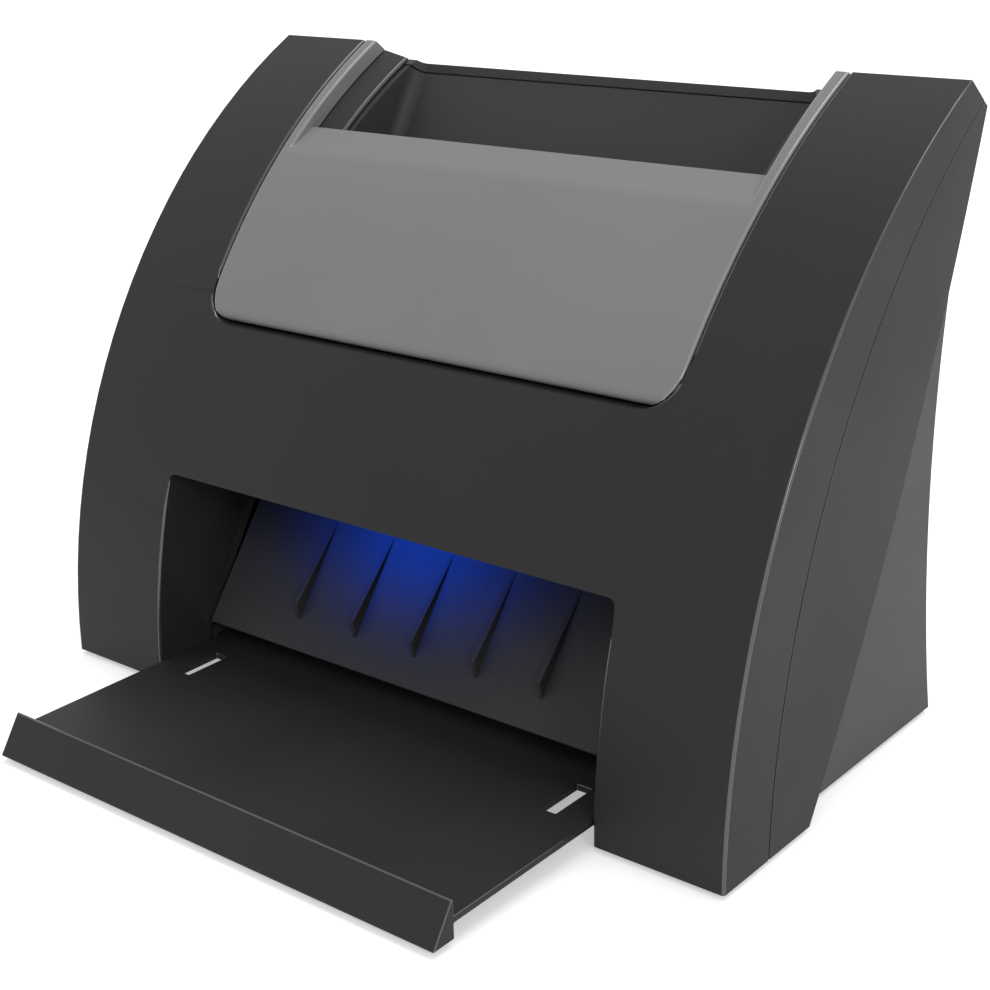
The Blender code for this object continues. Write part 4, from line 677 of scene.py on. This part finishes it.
def geometry_tree(name, inputs):
    """An empty geometry tree with the named inputs, and the node that gives them."""
    tree = bpy.data.node_groups.new(name, "GeometryNodeTree")
    tree.interface.new_socket("Geometry", in_out="INPUT", socket_type="NodeSocketGeometry")
    for label, kind in inputs.items():
        tree.interface.new_socket(label, in_out="INPUT", socket_type=SOCKETS[kind])
    tree.interface.new_socket("Geometry", in_out="OUTPUT", socket_type="NodeSocketGeometry")
    return tree, add_node(tree, "NodeGroupInput").outputs


def closed_tree(tree, geometry, material):
    """Ends the tree: instances made real, then the material."""
    real = add_node(tree, "GeometryNodeRealizeInstances", Geometry=geometry)
    painted = add_node(tree, "GeometryNodeSetMaterial", Geometry=real, Material=material)
    add_node(tree, "NodeGroupOutput", Geometry=painted)
    return tree


def grow(piece, tree, values):
    """Runs the tree on the piece with the given inputs."""
    modifier = piece.modifiers.new("geometry", "NODES")
    modifier.node_group = tree
    for item in tree.interface.items_tree:
        if item.in_out == "INPUT" and item.name in values:
            modifier[item.identifier] = values[item.name]


def tyre_tree():
    """Driven tyre: a bored rubber ring along X with narrow ribs evenly round it."""
    tree, given = geometry_tree("ribbed_tyre", {
        "Centre": "vector", "Radius": "number", "Bore": "number", "Width": "number", "Rib Height": "number",
        "Ribs": "count", "Material": "material",
    })
    core = add_node(tree, MATH, SUBTRACT, i0=given["Radius"], i1=given["Rib Height"])
    ring = add_node(tree, CYLINDER, Vertices=96, Radius=core, Depth=given["Width"])
    deep = add_node(tree, MATH, MULTIPLY, i0=given["Width"], i1=2.0)
    hole = add_node(tree, CYLINDER, Vertices=64, Radius=given["Bore"], Depth=deep)
    places = add_node(tree, "GeometryNodeMeshCircle", Vertices=given["Ribs"], Radius=core)
    half_round = add_node(tree, MATH, MULTIPLY, i0=given["Radius"], i1=math.pi)
    rib_width = add_node(tree, MATH, DIVIDE, i0=half_round, i1=given["Ribs"])
    rib_depth = add_node(tree, MATH, MULTIPLY, i0=given["Rib Height"], i1=1.9)
    rib_length = add_node(tree, MATH, MULTIPLY, i0=given["Width"], i1=0.94)
    size = add_node(tree, VECTOR, X=rib_depth, Y=rib_width, Z=rib_length)
    rib = add_node(tree, CUBE, Size=size)
    here = add_node(tree, "GeometryNodeInputPosition")
    outward = add_node(tree, "FunctionNodeAlignRotationToVector", {"axis": "X"}, Vector=here)
    ribs = add_node(tree, "GeometryNodeInstanceOnPoints", Points=places, Instance=rib, Rotation=outward)
    bored = add_node(tree, BOOLEAN, DIFFERENCE, Mesh_1=ring, Mesh_2=hole)
    whole = add_node(tree, JOIN, Geometry=[bored, ribs])
    laid = add_node(tree, MOVE, Geometry=whole, Rotation=(0.0, math.pi / 2, 0.0))
    placed = add_node(tree, MOVE, Geometry=laid, Translation=given["Centre"])
    return closed_tree(tree, placed, given["Material"])


def screw_tree():
    """Pan-head screw along Z with a cross recess and a rolled thread. Its head starts at the place."""
    tree, given = geometry_tree("recessed_screw", {
        "Place": "vector", "Turn": "vector", "Head Radius": "number", "Head Height": "number",
        "Core Radius": "number", "Thread Radius": "number", "Length": "number", "Pitch": "number",
        "Material": "material",
    })
    half_head = add_node(tree, MATH, MULTIPLY, i0=given["Head Height"], i1=0.5)
    head = add_node(tree, CYLINDER, Vertices=48, Radius=given["Head Radius"], Depth=given["Head Height"])
    slot_length = add_node(tree, MATH, MULTIPLY, i0=given["Head Radius"], i1=1.1)
    slot_width = add_node(tree, MATH, MULTIPLY, i0=given["Head Radius"], i1=0.24)
    recess = add_node(tree, VECTOR, X=slot_length, Y=slot_width, Z=given["Head Height"])
    blade = add_node(tree, CUBE, Size=recess)
    second_blade = add_node(tree, MOVE, Geometry=blade, Rotation=(0.0, 0.0, math.pi / 2))
    cross = add_node(tree, JOIN, Geometry=[blade, second_blade])
    depth = add_node(tree, MATH, MULTIPLY, i0=half_head, i1=-1.0)
    down = add_node(tree, VECTOR, Z=depth)
    cutter = add_node(tree, MOVE, Geometry=cross, Translation=down)
    slotted = add_node(tree, BOOLEAN, DIFFERENCE, Mesh_1=head, Mesh_2=cutter)
    up = add_node(tree, VECTOR, Z=half_head)
    seated = add_node(tree, MOVE, Geometry=slotted, Translation=up)
    core = add_node(tree, CYLINDER, Vertices=32, Radius=given["Core Radius"], Depth=given["Length"])
    half_length = add_node(tree, MATH, MULTIPLY, i0=given["Length"], i1=0.5)
    overlapped = add_node(tree, MATH, MULTIPLY, i0=half_length, i1=0.999)
    middle = add_node(tree, MATH, ADD, i0=given["Head Height"], i1=overlapped)
    core_place = add_node(tree, VECTOR, Z=middle)
    shank = add_node(tree, MOVE, Geometry=core, Translation=core_place)
    wire = add_node(tree, MATH, SUBTRACT, i0=given["Thread Radius"], i1=given["Core Radius"])
    plain_ends = add_node(tree, MATH, MULTIPLY, i0=given["Pitch"], i1=2.0)
    climb = add_node(tree, MATH, SUBTRACT, i0=given["Length"], i1=plain_ends)
    rounds = add_node(tree, MATH, DIVIDE, i0=climb, i1=given["Pitch"])
    spiral = add_node(
        tree, "GeometryNodeCurveSpiral", Resolution=24, Rotations=rounds, Height=climb,
        Start_Radius=given["Core Radius"], End_Radius=given["Core Radius"],
    )
    edge = add_node(tree, "GeometryNodeCurvePrimitiveCircle", Resolution=4, Radius=wire)
    thread = add_node(tree, "GeometryNodeCurveToMesh", Curve=spiral, Profile_Curve=edge, Fill_Caps=True)
    lift = add_node(tree, MATH, ADD, i0=given["Head Height"], i1=given["Pitch"])
    thread_place = add_node(tree, VECTOR, Z=lift)
    wound = add_node(tree, MOVE, Geometry=thread, Translation=thread_place)
    whole = add_node(tree, JOIN, Geometry=[seated, shank, wound])
    stood = add_node(tree, MOVE, Geometry=whole, Rotation=given["Turn"])
    placed = add_node(tree, MOVE, Geometry=stood, Translation=given["Place"])
    return closed_tree(tree, placed, given["Material"])


def rib_tree():
    """Row of thin ribs along X, added to the piece. Each rises to a crest and falls back to its foot."""
    tree, given = geometry_tree("ramp_ribs", {
        "Count": "count", "Pitch": "number", "Thickness": "number", "Crest Run": "number",
        "Crest Height": "number", "Foot Run": "number", "Root": "number", "Place": "vector",
        "Turn": "vector", "Material": "material",
    })
    middle = add_node(tree, MATH, MULTIPLY, i0=given["Foot Run"], i1=0.5)
    below = add_node(tree, MATH, MULTIPLY, i0=given["Root"], i1=-1.0)
    crest = add_node(tree, VECTOR, X=given["Crest Run"], Y=given["Crest Height"])
    foot = add_node(tree, VECTOR, X=given["Foot Run"])
    root = add_node(tree, VECTOR, X=middle, Y=below)
    outline = add_node(
        tree, "GeometryNodeCurvePrimitiveQuadrilateral", {"mode": "POINTS"},
        Point_1=(0.0, 0.0, 0.0), Point_2=crest, Point_3=foot, Point_4=root,
    )
    flat = add_node(tree, "GeometryNodeFillCurve", {"mode": "NGONS"}, Curve=outline)
    up = add_node(tree, VECTOR, Z=1.0)
    drawn = add_node(
        tree, "GeometryNodeExtrudeMesh", Mesh=flat, Offset=up, Offset_Scale=given["Thickness"],
        Individual=False,
    )
    underside = add_node(tree, "GeometryNodeFlipFaces", Mesh=flat)
    rib = add_node(tree, JOIN, Geometry=[drawn, underside])
    sealed = add_node(tree, "GeometryNodeMergeByDistance", Geometry=rib, Distance=0.001 * MM)
    half_back = add_node(tree, MATH, MULTIPLY, i0=given["Thickness"], i1=-0.5)
    back = add_node(tree, VECTOR, Z=half_back)
    halved = add_node(tree, MOVE, Geometry=sealed, Translation=back)
    stood = add_node(tree, MOVE, Geometry=halved, Rotation=given["Turn"])
    steps = add_node(tree, MATH, SUBTRACT, i0=given["Count"], i1=1.0)
    run = add_node(tree, MATH, MULTIPLY, i0=steps, i1=given["Pitch"])
    first = add_node(tree, MATH, MULTIPLY, i0=run, i1=-0.5)
    start = add_node(tree, VECTOR, X=first)
    step = add_node(tree, VECTOR, X=given["Pitch"])
    row = add_node(
        tree, "GeometryNodeMeshLine", {"mode": "OFFSET"}, Count=given["Count"], Start_Location=start,
        Offset=step,
    )
    ribs = add_node(tree, "GeometryNodeInstanceOnPoints", Points=row, Instance=stood)
    placed = add_node(tree, MOVE, Geometry=ribs, Translation=given["Place"])
    whole = add_node(tree, JOIN, Geometry=[given["Geometry"], placed])
    return closed_tree(tree, whole, given["Material"])


def dress(*nodes):
    """Puts each CAD node's own finish on it."""
    for node in nodes:
        slots = NODES[node].material_slots
        if not slots:
            raise ValueError(f"{node} has no material slot")
        for slot in slots:
            slot.material = finish(slot_of(node))


# Settings

class ScannerFinish(bpy.types.PropertyGroup):
    housing_colour: StringProperty(
        name="Housing colour", description="sRGB hex of the front cover", default="#2b2b2c",
    )
    casing_colour: StringProperty(
        name="Casing colour", description="sRGB hex of the rear body", default="#464648",
    )
    # The liner's colour is lighter than the housing's: painted light on the hopper's walls and the ramp
    liner_colour_with_painted_light: StringProperty(
        name="Liner colour", description="sRGB hex of the hopper's walls", default="#3a3a3b",
    )
    door_colour: StringProperty(
        name="Door colour", description="sRGB hex of the access door", default="#7b7b7c",
    )
    grain: FloatProperty(
        name="Grain", description="Width of the moulded grain in millimetres", default=0.35,
        min=0.1, max=2.0,
    )


class ScannerEdges(bpy.types.PropertyGroup):
    front: FloatProperty(
        name="Front edges", description="Rounding round the front faces", default=0.5 * MM, unit="LENGTH",
    )
    shell: FloatProperty(
        name="Shell edges", description="Rounding of the shells' edges", default=0.3 * MM, unit="LENGTH",
    )
    door: FloatProperty(
        name="Door edges", description="Rounding of the door's edges", default=0.5 * MM, unit="LENGTH",
    )
    small: FloatProperty(
        name="Small edges", description="Rounding on small mouldings", default=0.2 * MM, unit="LENGTH",
    )
    segments: IntProperty(
        name="Segments", description="Faces across a rounded edge", default=3, min=1, max=6,
    )


class ScannerLamp(bpy.types.PropertyGroup):
    colour: StringProperty(name="Lamp colour", description="sRGB hex of the lamp", default="#1446ff")
    lens_strength: FloatProperty(
        name="Lens strength", description="Emission of the lens", default=0.8, min=0.0,
    )
    # The wash, glow and spread set the lamp's light that is painted on the ramp as a glow
    wash: StringProperty(
        name="Wash colour", description="sRGB hex of the light on the ramp", default="#0a36a6",
    )
    glow: FloatProperty(name="Glow", description="Strength of the light on the ramp", default=0.75, min=0.0)
    spread: FloatVectorProperty(
        name="Spread", description="How far the light reaches on the ramp", subtype="XYZ", unit="LENGTH",
        default=(22 * MM, 14 * MM, 14 * MM),
    )


class ScannerRamp(bpy.types.PropertyGroup):
    ribs: IntProperty(name="Ribs", description="Number of ribs on the ramp", default=5, min=1, max=9)
    pitch: FloatProperty(
        name="Pitch", description="Distance between ribs", default=15.7 * MM, unit="LENGTH",
    )
    thickness: FloatProperty(
        name="Thickness", description="Thickness of a rib", default=0.9 * MM, unit="LENGTH",
    )
    height: FloatProperty(
        name="Height", description="Height of a rib's crest", default=2.7 * MM, unit="LENGTH",
    )
    crest: FloatProperty(
        name="Crest", description="Place of the crest along the ramp", subtype="FACTOR", default=0.69,
    )
    foot: FloatProperty(
        name="Foot", description="Place of the foot along the ramp", subtype="FACTOR", default=0.785,
    )


class ScannerCamera(bpy.types.PropertyGroup):
    place: FloatVectorProperty(
        name="Place", description="Where the camera stands", subtype="TRANSLATION", unit="LENGTH",
        default=(0.219410, -0.245644, 0.166818),
    )
    azimuth: FloatProperty(
        name="Azimuth", description="Turn round the machine", subtype="ANGLE", default=math.radians(39.457),
    )
    elevation: FloatProperty(
        name="Elevation", description="Look down", subtype="ANGLE", default=math.radians(20.01),
    )
    roll: FloatProperty(
        name="Roll", description="Tilt of the picture", subtype="ANGLE", default=math.radians(-1.463),
    )
    lens: FloatProperty(name="Lens", description="Focal length in millimetres", default=66.285, min=10.0)


# Operators

class SCANNER_OT_stage(bpy.types.Operator):
    """Pale floor, soft lamps, white surroundings and the camera"""
    bl_idname = "card_scanner.stage"
    bl_label = "Stage"

    def execute(self, context):
        scene = context.scene
        scene.view_settings.view_transform = "Standard"
        make_world(scene)
        make_floor()
        make_lamps(scene)
        make_camera(scene)
        return {"FINISHED"}


def make_world(scene):
    """Even sky that the camera, mirrors and glass see as white."""
    world = bpy.data.worlds.new("studio")
    scene.world = world
    world.use_nodes = True
    tree = world.node_tree
    tree.nodes.clear()
    rays = add_node(tree, "ShaderNodeLightPath")
    camera, glass, mirror = (rays.outputs[f"Is {ray} Ray"] for ray in ("Camera", "Transmission", "Glossy"))
    direct = add_node(tree, MATH, MAXIMUM, i0=camera, i1=glass)
    seen = add_node(tree, MATH, MAXIMUM, i0=direct, i1=mirror)
    sky = add_node(tree, "ShaderNodeBackground", Color=linear("#ffffff"), Strength=SKY_STRENGTH)
    white = add_node(tree, "ShaderNodeBackground", Color=linear("#ffffff"), Strength=1.0)
    mixed = add_node(tree, "ShaderNodeMixShader", i0=seen, i1=sky, i2=white)
    add_node(tree, "ShaderNodeOutputWorld", Surface=mixed)


def make_floor():
    """Plain pale floor."""
    mesh = bpy.data.meshes.new("floor")
    signs = ((-1, -1), (1, -1), (1, 1), (-1, 1))
    corners = [(across * FLOOR_REACH, along * FLOOR_REACH, 0) for across, along in signs]
    mesh.from_pydata(corners, [], [(0, 1, 2, 3)])
    floor = linked("floor", mesh)
    material, tree, _, shader = new_material("pale_floor")
    feed(tree, shader, Base_Color=linear("#f4f4f4"), Roughness=0.9)
    rays = add_node(tree, "ShaderNodeLightPath")
    white = add_node(tree, "ShaderNodeEmission", Color=linear("#ffffff"), Strength=FLOOR_STRENGTH)
    both = add_node(tree, "ShaderNodeAddShader", i0=shader, i1=white)
    seen = add_node(
        tree, MATH, MAXIMUM, i0=rays.outputs["Is Camera Ray"], i1=rays.outputs["Is Glossy Ray"],
    )
    mixed = add_node(tree, "ShaderNodeMixShader", i0=seen, i1=shader, i2=both)
    tree.links.new(mixed.outputs[0], socket_of(material, "OUTPUT_MATERIAL", "Surface")[0])
    mesh.materials.append(material)


def make_lamps(scene):
    """Square soft boxes: a broad one overhead, a smaller one at the front right that lines the edges, and a
    weak one in front."""
    for name, place, size, power in LAMPS:
        data = bpy.data.lights.new(name, "AREA")
        data.shape = "SQUARE"
        data.size = size
        data.energy = power
        lamp = bpy.data.objects.new(name, data)
        lamp.location = place
        aim = Vector(LAMP_TARGET) - Vector(place)
        lamp.rotation_euler = aim.to_track_quat("-Z", "Y").to_euler()
        scene.collection.objects.link(lamp)


def make_camera(scene):
    """The photograph's camera."""
    settings = scene.scanner_camera
    data = bpy.data.cameras.new("camera")
    data.lens = settings.lens
    data.sensor_width = SENSOR_WIDTH_MM
    data.clip_start = 0.01
    data.clip_end = 50.0
    camera = bpy.data.objects.new("camera", data)
    scene.collection.objects.link(camera)
    level = math.cos(settings.elevation)
    back = Vector((
        math.sin(settings.azimuth) * level,
        -math.cos(settings.azimuth) * level,
        math.sin(settings.elevation),
    ))
    right = (-back).cross(Vector((0.0, 0.0, 1.0))).normalized()
    up = right.cross(-back)
    tilted = right * math.cos(settings.roll) + up * math.sin(settings.roll)
    raised = up * math.cos(settings.roll) - right * math.sin(settings.roll)
    turn = Matrix((tilted, raised, back)).transposed().to_4x4()
    camera.matrix_world = Matrix.Translation(Vector(settings.place)) @ turn
    scene.camera = camera


class SCANNER_OT_housing(bpy.types.Operator):
    """Front cover and rear casing with rounded mould edges"""
    bl_idname = "card_scanner.housing"
    bl_label = "Housing"

    def execute(self, context):
        edges = context.scene.scanner_edges
        shell = moulded_copy("front_shell", edges.shell, edges.segments, edges.front, angle=SHELL_TURN)
        even_front(shell, "front_shell")
        moulded_copy("rear_housing", edges.shell, edges.segments)
        return {"FINISHED"}


class SCANNER_OT_door(bpy.types.Operator):
    """Grey access door and the guide behind it"""
    bl_idname = "card_scanner.door"
    bl_label = "Access door"

    def execute(self, context):
        edges = context.scene.scanner_edges
        moulded_copy("access_door", edges.door, edges.segments, edges.front)
        moulded_copy("door_guide", edges.small, edges.segments)
        return {"FINISHED"}


class SCANNER_OT_hopper(bpy.types.Operator):
    """Walls of the hopper, and the guides and sensors of the path under it"""
    bl_idname = "card_scanner.hopper"
    bl_label = "Hopper"

    def execute(self, context):
        edges = context.scene.scanner_edges
        moulded_copy("hopper_liner", edges.small, edges.segments, finish_name="liner_black")
        dress("rear_guide_plate", "lower_front_guide", "rear_sensor_bar", "rear_sensor_glass")
        dress("front_sensor_bar", "front_sensor_glass")
        return {"FINISHED"}


class SCANNER_OT_exit(bpy.types.Operator):
    """Ribbed ramp, tray and the lamp over them"""
    bl_idname = "card_scanner.exit"
    bl_label = "Exit ramp and tray"

    def execute(self, context):
        edges = context.scene.scanner_edges
        make_ramp(context.scene.scanner_ramp, edges)
        moulded_copy("exit_tray", edges.small, edges.segments)
        dress("tray_rail_left", "tray_rail_right", "lamp_board", "lamp_lens")
        return {"FINISHED"}


def make_ramp(settings, edges):
    """The ramp's plate and wings, with their row of ribs."""
    step_y, step_z = (RAMP_CHAMFER * share for share in RAMP_OUTWARD)
    slim = [(y - step_y, z - step_z) for y, z in RAMP_SECTION[:3]] + list(RAMP_SECTION[3:])
    full = RAMP_HALF - RAMP_CHAMFER * MM
    rings = [(-RAMP_HALF, slim), (-full, RAMP_SECTION), (full, RAMP_SECTION), (RAMP_HALF, slim)]
    plate = linked("exit_ramp_ribbed", lofted("ramp_plate", rings))
    wing = lofted("ramp_wing", [(-WING_HALF, RAMP_WING), (WING_HALF, RAMP_WING)])
    work = bmesh.new()
    work.from_mesh(plate.data)
    work.from_mesh(wing)
    work.to_mesh(plate.data)
    work.free()
    low, high = (Vector((0.0, y * MM, z * MM)) for y, z in RAMP_SECTION[:2])
    slope = low - high
    length = slope.length
    pitch_angle = math.atan2(slope.z, slope.y)
    grow(plate, rib_tree(), {
        "Count": settings.ribs, "Pitch": settings.pitch, "Thickness": settings.thickness,
        "Crest Run": length * settings.crest, "Crest Height": settings.height,
        "Foot Run": length * settings.foot, "Root": RIB_ROOT, "Place": tuple(high),
        "Turn": rib_turn(pitch_angle), "Material": finish("ramp_painted_glow"),
    })
    rounded(plate, edges.small, edges.segments)
    settle(baked(plate), "exit_ramp")


def rib_turn(pitch_angle):
    """Euler angles that lay a rib drawn in the XY plane along the slope, with its height outward."""
    along = Vector((0.0, math.cos(pitch_angle), math.sin(pitch_angle)))
    outward = Vector((0.0, along.z, -along.y))
    if outward.z < 0:
        outward = -outward
    frame_of_rib = Matrix((along, outward, along.cross(outward))).transposed()
    return tuple(frame_of_rib.to_euler())


class SCANNER_OT_base(bpy.types.Operator):
    """Floor plate, feet and the screws that hold the shells"""
    bl_idname = "card_scanner.base"
    bl_label = "Base"

    def execute(self, context):
        edges = context.scene.scanner_edges
        moulded_copy("bottom_cover", edges.small, edges.segments)
        tree = screw_tree()
        for number in range(1, 5):
            moulded_copy(f"rubber_foot_{number}", edges.small, edges.segments)
            make_screw(tree, f"case_screw_{number}", *CASE_SCREW, head_down=True)
            make_screw(tree, f"frame_screw_{number}", *FRAME_SCREW, head_down=False)
        return {"FINISHED"}


def make_screw(tree, node, head, shank, head_down):
    """A recessed and threaded screw in the place of a CAD one. Its head lies below or on top."""
    low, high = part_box(node)
    middle = (low + high) / 2
    piece = linked(node + "_recessed", bpy.data.meshes.new(node + "_recessed"))
    grow(piece, tree, {
        "Place": (middle.x, middle.y, low.z if head_down else high.z),
        "Turn": CASE_SCREW_TURN if head_down else FRAME_SCREW_TURN,
        "Head Radius": (high.x - low.x) / 2, "Head Height": head, "Core Radius": shank * CORE_SHARE,
        "Thread Radius": shank * THREAD_SHARE, "Length": high.z - low.z - head, "Pitch": THREAD_PITCH,
        "Material": finish("steel"),
    })
    settle(baked(piece), node)


class SCANNER_OT_works(bpy.types.Operator):
    """Side frames, rollers, gear train, motor and boards"""
    bl_idname = "card_scanner.works"
    bl_label = "Works"

    def execute(self, context):
        dress("left_side_frame", "right_side_frame", "idler_pin", "drive_motor", "motor_pinion")
        dress("feed_roller_shaft", "feed_gear", "exit_roller_shaft", "exit_gear", "idler_gear")
        dress("door_pinch_roller", "exit_pinch_roller", "door_hinge_pin_1", "door_hinge_pin_2")
        tree = tyre_tree()
        for node in ("feed_tyre_1", "feed_tyre_2", "exit_tyre_1", "exit_tyre_2"):
            make_tyre(tree, node)
        dress("main_board", "processor", "capacitor_1", "capacitor_2", "usb_socket", "power_jack")
        dress("shaft_bush_1", "shaft_bush_2", "shaft_bush_3", "shaft_bush_4")
        return {"FINISHED"}


def make_tyre(tree, node):
    """A ribbed rubber tyre in the place of a plain CAD one."""
    low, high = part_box(node)
    piece = linked(node + "_ribbed", bpy.data.meshes.new(node + "_ribbed"))
    grow(piece, tree, {
        "Centre": tuple((low + high) / 2), "Radius": (high.y - low.y) / 2, "Bore": TYRE_BORE,
        "Width": high.x - low.x, "Rib Height": TYRE_RIB_HEIGHT, "Ribs": TYRE_RIBS,
        "Material": finish("rubber"),
    })
    settle(baked(piece), node)


class SCANNER_PT_panel(bpy.types.Panel):
    """Lists the settings and the operators"""
    bl_idname = "SCANNER_PT_panel"
    bl_label = "Card scanner"
    bl_space_type = "VIEW_3D"
    bl_region_type = "UI"
    bl_category = "Scanner"

    def draw(self, context):
        scene = context.scene
        for group in GROUPS:
            settings = getattr(scene, group)
            box = self.layout.box()
            for name in settings.bl_rna.properties.keys():
                if name not in ("rna_type", "name"):
                    box.prop(settings, name)
        for operator in OPERATORS:
            self.layout.operator(operator.bl_idname)


GROUPS = {
    "scanner_finish": ScannerFinish,
    "scanner_edges": ScannerEdges,
    "scanner_lamp": ScannerLamp,
    "scanner_ramp": ScannerRamp,
    "scanner_camera": ScannerCamera,
}
OPERATORS = (
    SCANNER_OT_stage,
    SCANNER_OT_housing,
    SCANNER_OT_door,
    SCANNER_OT_hopper,
    SCANNER_OT_exit,
    SCANNER_OT_base,
    SCANNER_OT_works,
)


def register():
    for name, group in GROUPS.items():
        bpy.utils.register_class(group)
        setattr(bpy.types.Scene, name, PointerProperty(type=group))
    for operator in OPERATORS:
        bpy.utils.register_class(operator)
    bpy.utils.register_class(SCANNER_PT_panel)


def unregister():
    bpy.utils.unregister_class(SCANNER_PT_panel)
    for operator in reversed(OPERATORS):
        bpy.utils.unregister_class(operator)
    for name, group in GROUPS.items():
        delattr(bpy.types.Scene, name)
        bpy.utils.unregister_class(group)


def main():
    register()
    bpy.ops.card_scanner.stage()
    bpy.ops.card_scanner.housing()
    bpy.ops.card_scanner.door()
    bpy.ops.card_scanner.hopper()
    bpy.ops.card_scanner.exit()
    bpy.ops.card_scanner.base()
    bpy.ops.card_scanner.works()


if __name__ == "__main__":
    main()
